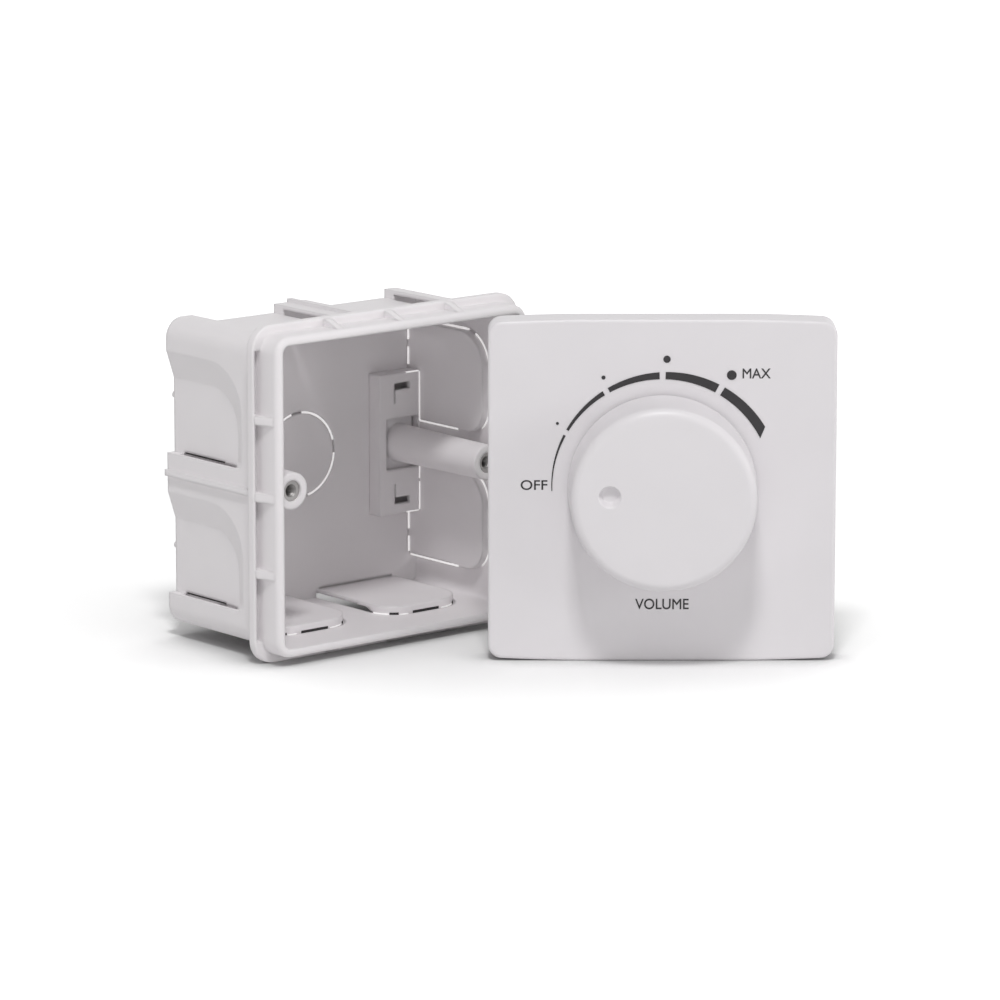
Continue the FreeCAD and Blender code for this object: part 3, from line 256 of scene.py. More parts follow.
def grain(tree, shader, field, strength, depth, edge=0.0):
    """Bump from a noise field, over edges rounded by edge millimetres."""
    bump = tree.nodes.new("ShaderNodeBump")
    bump.inputs["Strength"].default_value = strength
    bump.inputs["Distance"].default_value = depth * MM
    tree.links.new(field, bump.inputs["Height"])
    if edge > 0:
        rounding = tree.nodes.new("ShaderNodeBevel")
        rounding.samples = EDGE_SAMPLES
        rounding.inputs["Radius"].default_value = edge * MM
        tree.links.new(rounding.outputs["Normal"], bump.inputs["Normal"])
    tree.links.new(bump.outputs["Normal"], shader.inputs["Normal"])


print("edges are rounded with", EDGE_SAMPLES, "samples")

# %% [markdown]
# ## Moulded plastic
#
# The cover, the knob and the box are satin plastic from a mould: nearly one colour, faintly
# cloudy, with a grain too fine to see as dots. A single flat colour would look like paper. Three
# noise fields of very different scale give the clouds, the gloss and the grain. Their
# strengths are small, because the eye should feel them rather than see them. A row of the table
# has the colour, how far it strays, the roughness, the width of the rounded edges and, where it
# isn't the usual one, the strength of the grain.

# %% Plastic
CLOUD_SCALE = 60.0
GLOSS_SCALE = 300.0
GRAIN_SCALE = 5000.0
GRAIN_DEPTH = 0.02
GLOSSIER, DULLER = 0.05, 0.06


def plastic(name, colour, spread, roughness, edge, texture=0.12):
    """Satin moulded plastic."""
    material, tree, shader = plain_material(name, colour, roughness)
    vary_colour(tree, shader, noise(tree, CLOUD_SCALE, 2.0), *two_tones(colour, spread))
    vary_roughness(tree, shader, noise(tree, GLOSS_SCALE), roughness - GLOSSIER, roughness + DULLER)
    grain(tree, shader, noise(tree, GRAIN_SCALE, 2.0), texture, GRAIN_DEPTH, edge)
    return material


materials = {
    "cover_white": plastic("cover_white", (0.778, 0.753, 0.772), 0.008, 0.40, 0.2, 0.10),
    "box_white": plastic("box_white", (0.84, 0.812, 0.826), 0.010, 0.46, 1.0, 0.14),
    "print_black": plastic("print_black", (0.022, 0.020, 0.022), 0.15, 0.62, 0.0, 0.05),
    "black_plastic": plastic("black_plastic", (0.03, 0.03, 0.032), 0.1, 0.45, 0.2),
    "brown_board": plastic("brown_board", (0.20, 0.09, 0.035), 0.2, 0.55, 0.1),
    "natural_nylon": plastic("natural_nylon", (0.66, 0.62, 0.52), 0.03, 0.4, 0.15),
    "tape_yellow": plastic("tape_yellow", (0.58, 0.38, 0.03), 0.06, 0.22, 0.0, 0.05),
    "board_green": plastic("board_green", (0.012, 0.09, 0.035), 0.2, 0.3, 0.1, 0.05),
    "terminal_green": plastic("terminal_green", (0.02, 0.22, 0.07), 0.06, 0.4, 0.2),
    "wire_red": plastic("wire_red", (0.42, 0.01, 0.01), 0.05, 0.35, 0.0, 0.05),
    "wire_black": plastic("wire_black", (0.015, 0.015, 0.016), 0.1, 0.35, 0.0, 0.05),
}
print("plastics", len(materials))

# %% [markdown]
# ## Metals
#
# The screws, the clips, the shaft, the contacts and the wire of the winding are bare or plated
# metal. A metal shows mostly what it reflects, so a colour alone looks like grey paint. One
# noise field changes gloss and relief together here, which reads as wear and as brushing, and
# the winding's field is stretched so that its grain runs round like the turns of wire. A row has
# the colour, the roughness and, where it isn't the usual one, the scale of the brushing.

# %% Metal
METAL_SPREAD = 0.12
METAL_EDGE = 0.12
METAL_CLOUDS = 120.0
BRUSHED_SCALE = 900.0
BRUSHED_GLOSS = (0.7, 1.4)
BRUSHED_RELIEF = (0.15, 0.03)
WIRE_STRETCH = (1.0, 1.0, 14.0)


def metal(name, colour, roughness, scale=BRUSHED_SCALE, stretch=(1.0, 1.0, 1.0)):
    """Plated or brushed metal, with its grain stretched along an axis."""
    material, tree, shader = plain_material(name, colour, roughness, 1.0)
    field = noise(tree, scale, 4.0, stretch)
    vary_colour(tree, shader, noise(tree, METAL_CLOUDS, 2.0), *two_tones(colour, METAL_SPREAD))
    vary_roughness(tree, shader, field, *(roughness * share for share in BRUSHED_GLOSS))
    grain(tree, shader, field, *BRUSHED_RELIEF, METAL_EDGE)
    return material


materials.update({
    "zinc_steel": metal("zinc_steel", (0.62, 0.63, 0.62), 0.32),
    "insert_steel": metal("insert_steel", (0.36, 0.35, 0.345), 0.48),
    "spring_steel": metal("spring_steel", (0.52, 0.52, 0.53), 0.22),
    "cast_zinc": metal("cast_zinc", (0.60, 0.60, 0.61), 0.42, 2500.0),
    "brass": metal("brass", (0.75, 0.55, 0.22), 0.28),
    "copper": metal("copper", (0.72, 0.30, 0.14), 0.3, 260.0, WIRE_STRETCH),
})
print("plastics and metals", len(materials))

# %% [markdown]
# ## Stacked iron
#
# The core of the small transformer is a stack of thin iron sheets, seen from the side as fine
# lines. Each sheet could be a solid of its own, for many faces that nobody can see. Bands of a
# wave texture across the stack, used for tone and for relief, show the same lines on one block.

# %% Laminations
IRON = (0.16, 0.155, 0.15)
SHEET_SCALE = 600.0
SHEET_WOBBLE = 0.4
SHEET_TONES = (0.6, 1.3)
SHEET_RELIEF = (0.5, 0.05)


def laminated(name, colour):
    """Stacked iron sheets: thin lines across the stack."""
    material, tree, shader = plain_material(name, colour, 0.5, 0.8)
    place = tree.nodes.new("ShaderNodeTexCoord")
    wave = tree.nodes.new("ShaderNodeTexWave")
    wave.bands_direction = "Y"
    wave.inputs["Scale"].default_value = SHEET_SCALE
    wave.inputs["Distortion"].default_value = SHEET_WOBBLE
    tree.links.new(place.outputs["Object"], wave.inputs["Vector"])
    dark, light = ([c * share for c in colour] for share in SHEET_TONES)
    vary_colour(tree, shader, wave.outputs["Fac"], dark, light)
    grain(tree, shader, wave.outputs["Fac"], *SHEET_RELIEF)
    return material


materials["iron_laminations"] = laminated("iron_laminations", IRON)
print("materials", len(materials))

# %% [markdown]
# ## Finishes on the CAD pieces
#
# Every CAD piece names the finish that it has on the real object. The materials could be picked
# by hand in the viewport. Instead a loop over the record gives each
# piece the material of that name and shades it smooth between its crisp edges.

# %% Dress the CAD pieces
CAD_ANGLE = 30.0
for sub in frame["record"]["subparts"]:
    piece = nodes[sub["node"]]
    paint(piece, materials[sub["material_slot"]])
    smooth(piece, CAD_ANGLE)

# %% [markdown]
# ## Outline of the cover
#
# The cover is a square plate, hollow behind, with a round hole for the bush of the switch. Its
# top and bottom edges bow out a little. A cube with a bevel would be quick, but a bevel can't
# bow an edge. So one function draws the outline, bowed, with round corners, at any inset and
# depth. A second one draws a circle with a point for each point of the outline, so that the
# square can be joined to the round hole.

# %% Outline of the cover
PLATE_HALF = 43.0
PLATE_MIDDLE_Z = 43.0
PLATE_CORNER = 3.4
PLATE_CROWN = 0.7
PLATE_FLAT = 20.0
CROWN_POWER = 1.6
SMALLEST_CORNER = 0.6
SIDE_STEPS = 24
CORNER_STEPS = 8


def edge_drop(x):
    """How far the bowed top and bottom edges fall at x."""
    past = max(0.0, abs(x) - PLATE_FLAT) / (PLATE_HALF - PLATE_FLAT)
    return PLATE_CROWN * past ** CROWN_POWER


def plate_loop(inset, y, corner=PLATE_CORNER, half=PLATE_HALF, bowed=True):
    """The cover's outline, drawn in by inset, at depth y."""
    half = half - inset
    radius = max(corner - inset, SMALLEST_CORNER)
    straight = half - radius
    side = [(straight * (2 * i / SIDE_STEPS - 1), half) for i in range(SIDE_STEPS)]
    for i in range(CORNER_STEPS):
        turn = math.pi / 2 * i / CORNER_STEPS
        side.append((straight + radius * math.sin(turn), straight + radius * math.cos(turn)))
    points = []
    for quarter in range(4):
        for along, out in side:
            x, z = ((along, out), (out, -along), (-along, -out), (-out, along))[quarter]
            if bowed:
                z -= math.copysign(edge_drop(x) * min(1.0, abs(z) / half), z)
            points.append((x, y, z + PLATE_MIDDLE_Z))
    return points


print("the cover's edge falls", edge_drop(PLATE_HALF), "mm at its corners")

# %% A circle to join it to
AXIS_Z = 44.0


def circle_loop(radius, y, like):
    """A circle about the knob's axis, with one point for each point of another loop."""
    points = []
    for x, _, z in like:
        turn = math.atan2(z - AXIS_Z, x)
        points.append((radius * math.cos(turn), y, AXIS_Z + radius * math.sin(turn)))
    return points


print("the knob's axis is", AXIS_Z, "mm above the floor")

# %% [markdown]
# ## Cover plate
#
# On the real cover the front edge is rounded by less than a millimetre, and that narrow band
# catches the light all round. A bevel modifier could round it too, but it would also round the
# hole and the hollow. The loops run up the outside, over the rounded edge, across the front,
# through the hole and out over the hollow back, so each edge gets the radius that it has.

# %% Cover plate
PLATE_FRONT = -4.5
PLATE_BACK = 4.5
PLATE_EDGE = 0.8
PLATE_WALL = 2.0
PLATE_HOLE = 7.4
BACK_EDGE = 0.25
HOLE_EDGE = 0.3
EDGE_STEPS = 6
EDGE_SUPPORT = 1.5
FACE_SUPPORTS = (0.5, 5.0)
INNER_HALF = 40.3
INNER_CORNER = 2.0
INNER_EDGE = 0.2


def make_cover():
    """The cover as one closed skin: its outside, its hole and its hollow back."""
    start = PLATE_FRONT + PLATE_EDGE
    loops = [plate_loop(BACK_EDGE, PLATE_BACK), plate_loop(0.0, PLATE_BACK - BACK_EDGE),
             plate_loop(0.0, start + EDGE_SUPPORT)]
    for i in range(EDGE_STEPS + 1):
        turn = math.pi / 2 * i / EDGE_STEPS
        loops.append(plate_loop(PLATE_EDGE * (1 - math.cos(turn)), start - PLATE_EDGE * math.sin(turn)))
    border, face = (plate_loop(PLATE_EDGE + inset, PLATE_FRONT) for inset in FACE_SUPPORTS)
    inside = PLATE_FRONT + PLATE_WALL
    loops += [border, face,
              circle_loop(PLATE_HOLE + HOLE_EDGE, PLATE_FRONT, face),
              circle_loop(PLATE_HOLE, PLATE_FRONT + HOLE_EDGE, face),
              circle_loop(PLATE_HOLE, inside, face)]
    for half, y in ((INNER_HALF - INNER_EDGE, inside), (INNER_HALF, inside + INNER_EDGE),
                    (INNER_HALF, PLATE_BACK)):
        loops.append(plate_loop(0.0, y, INNER_CORNER, half, False))
    made = new_mesh("cover_plate_skin", *skin(loops))
    soften(made)
    return made


cover = make_cover()
dress(cover, materials["cover_white"], ROOT)
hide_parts("cover_plate")
print("cover plate faces", len(cover.data.polygons))

# %% [markdown]
# ## Clips of the cover
#
# Two tongues behind the cover snap over the support frame. Nothing shows them, and they could
# be part of the cover's skin, at the cost of a much harder set of loops. A plain block with
# rounded edges for each does the job, made from two opposite corners.

# %% Clips
CLIP_WIDTH = 12.0
CLIP_EDGE = 0.3
CLIP_ROUNDING = 3
CLIP_SINK = 0.5
CLIP_INTO_FACE = 0.3
CLIP_BACK_GAP = 1.0
FRAME_HALF_HEIGHT = 35.0
BLOCK_FACES = [(0, 1, 3, 2), (4, 6, 7, 5), (0, 4, 5, 1), (2, 3, 7, 6), (0, 2, 6, 4), (1, 5, 7, 3)]


def box_piece(name, low, high, edge):
    """A block between two corners with rounded edges."""
    xs, ys, zs = zip(low, high)
    made = new_mesh(name, [(x, y, z) for x in xs for y in ys for z in zs], BLOCK_FACES)
    bevel = made.modifiers.new("edges", "BEVEL")
    bevel.width = edge * MM
    bevel.segments = CLIP_ROUNDING
    soften(made)
    return made


for side, name in ((-1, "cover_clip_bottom"), (1, "cover_clip_top")):
    wall = PLATE_MIDDLE_Z + side * (INNER_HALF + CLIP_SINK)
    ends = sorted((wall, PLATE_MIDDLE_Z + side * FRAME_HALF_HEIGHT))
    low = (-CLIP_WIDTH / 2, PLATE_FRONT + PLATE_WALL - CLIP_INTO_FACE, ends[0])
    high = (CLIP_WIDTH / 2, PLATE_BACK - CLIP_BACK_GAP, ends[1])
    clip = box_piece(name, low, high, CLIP_EDGE)
    dress(clip, materials["cover_white"], ROOT)
    print(name, "from", round(ends[0], 1), "to", round(ends[1], 1))


# %% [markdown]
# ## Finger dimple
#
# A small pit near the rim of the knob shows where it points, and holds a fingertip. A boolean
# with a sphere would cut it with a knife edge, and the photograph shows a soft lip. So the
# pit is a set of loops round its own middle: the wall is steep at the top and eases off at the
# bottom, where the lip rolls over. Its depth follows a smooth step from lip to floor.

# %% Finger dimple
KNOB_FRONT = -22.3
DIMPLE_REACH = 13.2
DIMPLE_RISE = 1.2
DIMPLE_Z = AXIS_Z + DIMPLE_RISE
DIMPLE_R = 2.5
DIMPLE_DEPTH = 1.6
DIMPLE_TOP = (0.08, 0.12)
DIMPLE_BOTTOM = (0.65, 1.0)
DIMPLE_STEPS = 16


def dimple_loop(rim, share):
    """A loop of the dimple's wall, from its lip at share 0 to its floor at share 1."""
    points = []
    for x, _, z in rim:
        turn = math.atan2(z - DIMPLE_Z, x + DIMPLE_REACH)
        low = 0.5 - 0.5 * math.sin(turn)
        outer = DIMPLE_R + DIMPLE_TOP[0] + (DIMPLE_BOTTOM[0] - DIMPLE_TOP[0]) * low
        inner = DIMPLE_R - DIMPLE_TOP[1] - (DIMPLE_BOTTOM[1] - DIMPLE_TOP[1]) * low
        radius = outer + (inner - outer) * share
        depth = DIMPLE_DEPTH * share * share * (3 - 2 * share)
        points.append((radius * math.cos(turn) - DIMPLE_REACH, KNOB_FRONT + depth,
                       DIMPLE_Z + radius * math.sin(turn)))
    return points


def shrunk(loop, share):
    """A loop drawn in to a share of its size about the dimple's middle."""
    return [((x + DIMPLE_REACH) * share - DIMPLE_REACH, y, DIMPLE_Z + (z - DIMPLE_Z) * share)
            for x, y, z in loop]


print("the dimple is", DIMPLE_DEPTH, "mm deep, its middle", DIMPLE_REACH, "mm left of the axis")

# %% [markdown]
# ## Knob
#
# The knob is a hollow cap, a little narrower at the front, with a round front edge that shades
# softly. Such a shape is usually spun from its profile. Plain rings about the axis give the same
# skin, and the last ring of the front can be joined straight to the lip of the dimple, which a
# spin can't do.

# %% Outside of the knob
KNOB_BACK = -5.3
KNOB_R = 23.3
KNOB_TOP_R = 22.9
KNOB_EDGE = 2.3
KNOB_SECTORS = 360
RIM_EDGE = 0.25
WALL_STEPS = 4
ROUND_STEPS = 12
FACE_SUPPORT = 0.6
FLOOR_SHARES = (0.6, 0.2)
KNOB_ANGLE = 40.0


def circle_points(radius, count):
    """Points of a circle about the origin."""
    turns = [2 * math.pi * j / count for j in range(count)]
    return [(radius * math.cos(turn), radius * math.sin(turn)) for turn in turns]


def knob_ring(radius, y):
    """A circle of the knob."""
    return [(x, y, AXIS_Z + z) for x, z in circle_points(radius, KNOB_SECTORS)]


def make_knob():
    """The outside of the knob, from its back rim over the front edge into the dimple."""
    loops = [knob_ring(KNOB_R - RIM_EDGE, KNOB_BACK), knob_ring(KNOB_R, KNOB_BACK - RIM_EDGE)]
    wall = KNOB_BACK - 2 * RIM_EDGE
    start = KNOB_FRONT + KNOB_EDGE
    for i in range(WALL_STEPS + 1):
        share = i / WALL_STEPS
        loops.append(knob_ring(KNOB_R + (KNOB_TOP_R - KNOB_R) * share, wall + (start - wall) * share))
    for i in range(1, ROUND_STEPS + 1):
        turn = math.pi / 2 * i / ROUND_STEPS
        loops.append(knob_ring(KNOB_TOP_R - KNOB_EDGE * (1 - math.cos(turn)),
                               start - KNOB_EDGE * math.sin(turn)))
    rim = knob_ring(KNOB_TOP_R - KNOB_EDGE - FACE_SUPPORT, KNOB_FRONT)
    loops.append(rim)
    loops.extend(dimple_loop(rim, i / DIMPLE_STEPS) for i in range(DIMPLE_STEPS + 1))
    for share in FLOOR_SHARES:
        loops.append(shrunk(loops[-1], share))
    points, faces = skin(loops, False)
    faces.append(tuple(range(len(points) - KNOB_SECTORS, len(points))))
    return new_mesh("knob_skin", points, faces)


knob = make_knob()
soften(knob, KNOB_ANGLE)
dress(knob, materials["cover_white"], TURNING)
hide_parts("knob")
print("knob faces", len(knob.data.polygons))

# %% [markdown]
# ## Inside of the knob
#
# Behind the cap a boss with a bore takes the shaft. A thickness modifier on the outside would
# double the dimple too, and couldn't add the boss. A second open skin, from the bore out
# to the rim, is short to write as a table of radii and depths.

# %% Inside of the knob
KNOB_WALL = 2.0
KNOB_BORE_R = 3.05
KNOB_BOSS_R = 5.6
KNOB_BOSS_BACK = -7.3
BOSS_EDGE = 0.2
INSIDE_EDGE = 0.5


def make_knob_inside():
    """The hollow back of the knob with its boss and bore."""
    inner = KNOB_FRONT + KNOB_WALL
    sizes = [(KNOB_BORE_R, inner + INSIDE_EDGE), (KNOB_BORE_R, KNOB_BOSS_BACK),
             (KNOB_BOSS_R - BOSS_EDGE, KNOB_BOSS_BACK), (KNOB_BOSS_R, KNOB_BOSS_BACK - BOSS_EDGE),
             (KNOB_BOSS_R, inner), (KNOB_TOP_R - KNOB_WALL - INSIDE_EDGE, inner),
             (KNOB_TOP_R - KNOB_WALL, inner + INSIDE_EDGE), (KNOB_R - KNOB_WALL, KNOB_BACK),
             (KNOB_R - RIM_EDGE, KNOB_BACK)]
    return new_mesh("knob_inside", *skin([knob_ring(radius, y) for radius, y in sizes], False))


inside = make_knob_inside()
soften(inside, KNOB_ANGLE)
dress(inside, materials["cover_white"], TURNING)
print("faces inside the knob", len(inside.data.polygons))

# %% [markdown]
# ## Printed words
#
# Three plain function words are printed beside the scale, a few hundredths of a millimetre
# thick. A picture of them on the plate would blur close by. A text curve has sharp outlines at
# any size, so each word is set in Blender's own font, swelled a hair to the weight of the
# print, turned into a mesh, and fitted between its left, right, lower and upper limits.

# %% Printed words
INK_THICK = 0.05
LETTER_HALF_DEPTH = 0.5
LETTER_SWELL = 0.009


def letters(name, text):
    """A mesh of the text, from a curve that is thrown away again."""
    curve = bpy.data.curves.new(name + "_curve", "FONT")
    curve.body = text
    curve.extrude = LETTER_HALF_DEPTH
    curve.bevel_depth = LETTER_SWELL
    curve.bevel_resolution = 0
    holder = in_scene(name + "_curve", curve)
    bpy.context.view_layer.update()
    seen = holder.evaluated_get(bpy.context.evaluated_depsgraph_get())
    flat = bpy.data.meshes.new_from_object(seen)
    flat.name = name
    bpy.data.objects.remove(holder)
    return flat


def fitted(values, low, high):
    """Values stretched to run from low to high."""
    least, most = min(values), max(values)
    return [low + (value - least) / (most - least) * (high - low) for value in values]


def word(name, text, left, right, low, high):
    """A printed word fitted between two sides and two heights, on the plate's front."""
    flat = letters(name, text)
    xs = fitted([v.co.x for v in flat.vertices], left, right)
    zs = fitted([v.co.y for v in flat.vertices], low, high)
    for v, x, z in zip(flat.vertices, xs, zs):
        v.co = Vector((x, PLATE_FRONT - (v.co.z + LETTER_HALF_DEPTH) * INK_THICK, z)) * MM
    made = in_scene(name, flat)
    dress(made, materials["print_black"], ROOT)
    print(name, "has", len(flat.polygons), "faces")


word("word_off", "OFF", -34.9, -28.3, 43.3, 45.8)
word("word_max", "MAX", 19.65, 26.6, 71.3, 73.8)
word("word_volume", "VOLUME", -6.5, 6.8, 13.1, 15.8)


# %% [markdown]
# ## Finding places in the box
#
# The box stands beside the control, turned by 40 degrees about its upright. Its details are known
# along its walls, not in the room. They could hang under a turned empty, but a made piece has
# to ride on a body. So two functions turn wall measures into the scene's: one for the box as a
# whole, and one for the frame of any of its four walls.

# %% Places in the box
BOX_YAW = math.radians(40.0)
BOX_PLACE = (-63.8, 12.0, 42.5)
TOP_WALL, RIGHT_WALL, FLOOR_WALL, LEFT_WALL = 0.0, 90.0, 180.0, 270.0


def turned(x, y, turn):
    """A flat point turned about the origin."""
    c, s = math.cos(turn), math.sin(turn)
    return x * c - y * s, x * s + y * c


def in_box(x, y, z):
    """A point of the box's own frame, in the scene's millimetres."""
    along, back = turned(x, y, BOX_YAW)
    return BOX_PLACE[0] + along, BOX_PLACE[1] + back, BOX_PLACE[2] + z


def on_wall(along, depth, height, wall, hand=1):
    """A point of a wall's frame: along the wall, into the box, and out from its middle."""
    x, z = turned(-along * hand, height, -math.radians(wall))
    return in_box(x, depth, z)


print("the middle of the box's mouth is at", in_box(0.0, 0.0, 0.0))


# %% [markdown]
# ## Thin strips
#
# The lines of light and shade in the box are narrow strips that follow straight grooves and round
# corners. A curve with a bevel could draw them, but its section is round unless a second curve
# shapes it. A bar with a square section, set down along a path by a placing function, lies flush
# in a groove on any wall.

# %% Strips
ARC_STEPS = 16


def bar(path, width, low, high, place):
    """A thin bar along flat points, between two heights, set down by a placing function."""
    loops = []
    for i, (x, y) in enumerate(path):
        x0, y0 = path[max(i - 1, 0)]
        x1, y1 = path[min(i + 1, len(path) - 1)]
        length = math.hypot(x1 - x0, y1 - y0)
        nx, ny = -(y1 - y0) / length * width / 2, (x1 - x0) / length * width / 2
        loops.append([place(x + nx, y + ny, low), place(x - nx, y - ny, low),
                      place(x - nx, y - ny, high), place(x + nx, y + ny, high)])
    points, faces = skin(loops, False)
    last = len(points)
    return points, faces + [(3, 2, 1, 0), (last - 4, last - 3, last - 2, last - 1)]


def arc_points(cx, cy, radius, first, last, steps=ARC_STEPS):
    """Points on an arc, angles in degrees."""
    turns = [math.radians(first + (last - first) * i / steps) for i in range(steps + 1)]
    return [(cx + radius * math.cos(t), cy + radius * math.sin(t)) for t in turns]


def join(parts):
    """One list of points and faces from several."""
    points, faces = [], []
    for more, sides in parts:
        faces.extend(tuple(i + len(points) for i in side) for side in sides)
        points.extend(more)
    return points, faces


print("an arc has", len(arc_points(0, 0, 1, 0, 90)), "points")

# %% [markdown]
# ## Plastic that lets light through
#
# The grooves round the box's knockouts are thin enough for daylight to pass, so from inside they
# shine as bright lines. Real translucency needs very thin shells and many samples. A pale
# plastic with a weak glow of its own, which is painted light, gives the same line at once, and
# stays calm in the noise.

# %% Thin web
WEB_GLOW = 0.45
WEB_CLOUDS = 90.0
WEB_GRAIN = 3000.0


def glowing_web_material():
    """Thin plastic with a painted glow for the room's light coming through it."""
    material, tree, shader = plain_material("glowing_web", (0.80, 0.79, 0.79), 0.5)
    field = noise(tree, WEB_CLOUDS)
    vary_colour(tree, shader, field, (0.76, 0.75, 0.75), (0.84, 0.83, 0.83))
    vary_roughness(tree, shader, field, 0.4, 0.6)
    grain(tree, shader, noise(tree, WEB_GRAIN), 0.1, GRAIN_DEPTH)
    # Painted light: the emission makes the webs glow as if light came through them.
    shader.inputs["Emission Color"].default_value = (1.0, 0.985, 0.98, 1.0)
    shader.inputs["Emission Strength"].default_value = WEB_GLOW
    return material


materials["glowing_web"] = glowing_web_material()
print("webs glow at", WEB_GLOW)

# %% [markdown]
# ## Lit grooves of the right wall
#
# A knockout is a panel that can be broken out for a cable, held by a few bridges in its groove.
# Each of the four walls round the mouth has two. The lit lines could be drawn as whole
# rectangles, but then the bridges would shine too. So the outline is cut into stretches: a
# corner, the front, the far corner and the far side, and one strip along the ledge at the
# panel's near side.

# %% Outline of a knockout
PANEL_START = 5.0
PANEL_WIDTH = 26.0
PANEL_STARTS = (PANEL_START, -PANEL_START - PANEL_WIDTH)
KNOCKOUT_FRONT = 13.0
KNOCKOUT_CORNER = 6.5
KNOCKOUT_ARC = 9.0
WEB_GROW = 0.3
BOX_REAR = 42.5
REAR_GAP = 0.3
CORNER_LIT = (215, 262)
FAR_CORNER_LIT = (282, 335)
FRONT_BRIDGES = (2.0, 0.5)
FAR_LAP = 1.0


def knockout_paths(start):
    """The lit stretches at the foot of one knockout's raised back: corners, front, far side."""
    far = start + PANEL_WIDTH + WEB_GROW
    front = KNOCKOUT_FRONT - WEB_GROW
    corner = KNOCKOUT_CORNER + WEB_GROW
    arc = KNOCKOUT_ARC + WEB_GROW
    corner_x, corner_y = start + corner, front + corner
    arc_x, arc_y = far - arc, front + arc
    return [
        arc_points(corner_x, corner_y, corner, *CORNER_LIT),
        [(corner_x + FRONT_BRIDGES[0], front), (arc_x - FRONT_BRIDGES[1], front)],
        arc_points(arc_x, arc_y, arc, *FAR_CORNER_LIT),
        [(far, arc_y - FAR_LAP), (far, BOX_REAR - REAR_GAP)],
    ]


print("a knockout has", len(knockout_paths(PANEL_START)), "lit stretches")

# %% Webs of the right wall
PANEL_TOP = 36.0
WALL_TOP = 38.1
WEB_PROUD = 0.02
WEB_DEEP = 0.4
WEB_WIDTH = 0.5
SLIT_HEIGHT = 0.45
LEDGE_LIGHT = 20.0


def wall_bar(path, top):
    """One web on the right wall, its lit face just proud of the surface at top."""
    return bar(path, WEB_WIDTH, top - WEB_PROUD, top + WEB_DEEP,
               lambda x, y, h: on_wall(x, y, h, RIGHT_WALL))


def lay_webs(name, bars):
    """One object from several webs, which glow with painted light."""
    web = new_mesh(name, *join(bars))
    dress(web, materials["glowing_web"], ROOT)
    print(name, "has", len(bars), "strips")


bars = []
for start in PANEL_STARTS:
    bars.extend(wall_bar(path, WALL_TOP) for path in knockout_paths(start))
    ledge = start + SLIT_HEIGHT / 2
    bars.append(wall_bar([(ledge, BOX_REAR - REAR_GAP), (ledge, BOX_REAR - LEDGE_LIGHT)], PANEL_TOP))
lay_webs("knockout_webs_right", bars)

# %% [markdown]
# ## Lit grooves of the back wall
#
# The back wall has a round knockout in its middle, and light at its right edge, where the panels
# of the right wall end. One ring of light would be simple, but four bridges break the real
# groove, and a few more break the edge. So the circle is laid as four arcs, and the edge as
# short upright lines.

# %% Webs of the back wall
ROUND_R = 11.0
ROUND_ARC_STEPS = 24
QUARTER_LIT = (14, 86)
LIT_HEIGHTS = ((6.0, 17.0), (19.5, 24.0), (26.0, 30.0))


def rear_bar(path, width=WEB_WIDTH, front=BOX_REAR):
    """One web that faces the box's mouth, its lit face just proud of front."""
    return bar(path, width, front - WEB_PROUD, front + WEB_DEEP, lambda x, z, y: in_box(x, y, z))


edge = PANEL_TOP - WEB_WIDTH / 2
bars = [rear_bar([(edge, sign * low), (edge, sign * high)])
        for sign in (1, -1) for low, high in LIT_HEIGHTS]
for quarter in range(4):
    first, last = (90 * quarter + angle for angle in QUARTER_LIT)
    bars.append(rear_bar(arc_points(0, 0, ROUND_R, first, last, ROUND_ARC_STEPS)))
lay_webs("knockout_webs_back", bars)

# %% [markdown]
# ## Dark slits
#
# Some slits round the knockouts open to the shaded side of the box and read as dark lines: along
# the ledges of the left and top walls, and at the foot of the raised backs on the floor. The CAD
# leaves them open, but this studio is white all round and would shine through. A narrow
# near-black strip in each slit is painted shade that keeps it dark from every side, and beside the
# dark strips on the floor lie low glowing ones, painted light, where the groove is thin but closed.

# %% Strips along a knockout
# Painted shade: a near-black plastic for strips put where only the box's shade falls.
materials["slit_painted_shade"] = plastic("slit_painted_shade", (0.035, 0.032, 0.034), 0.1, 0.8, 0.0, 0.1)
SHORT_ARC_STEPS = 8
FOOT_THICK = 0.12
FOOT_SINK = 0.1


def corner_arc(start, first, last):
    """A stretch of the outline's corner beside the ledge, angles in degrees."""
    return arc_points(start + KNOCKOUT_CORNER, KNOCKOUT_FRONT + KNOCKOUT_CORNER, KNOCKOUT_CORNER,
                      first, last, SHORT_ARC_STEPS)


def far_arc(start, first, last):
    """A stretch of the outline's wide corner at the far side."""
    return arc_points(start + PANEL_WIDTH - KNOCKOUT_ARC, KNOCKOUT_FRONT + KNOCKOUT_ARC,
                      KNOCKOUT_ARC, first, last, SHORT_ARC_STEPS)


def foot_bar(path, tall):
    """A strip at the foot of a raised back on the floor."""
    return bar(path, FOOT_THICK, WALL_TOP - tall, WALL_TOP + FOOT_SINK,
               lambda x, y, h: on_wall(x, y, h, FLOOR_WALL))


def lay_painted_shade(name, bars):
    """One object of painted shade from several strips."""
    made = new_mesh(name, *join(bars))
    dress(made, materials["slit_painted_shade"], ROOT)
    print(name, "has", len(bars), "strips")


print("strips at the foot of a panel are", FOOT_THICK, "mm thick")

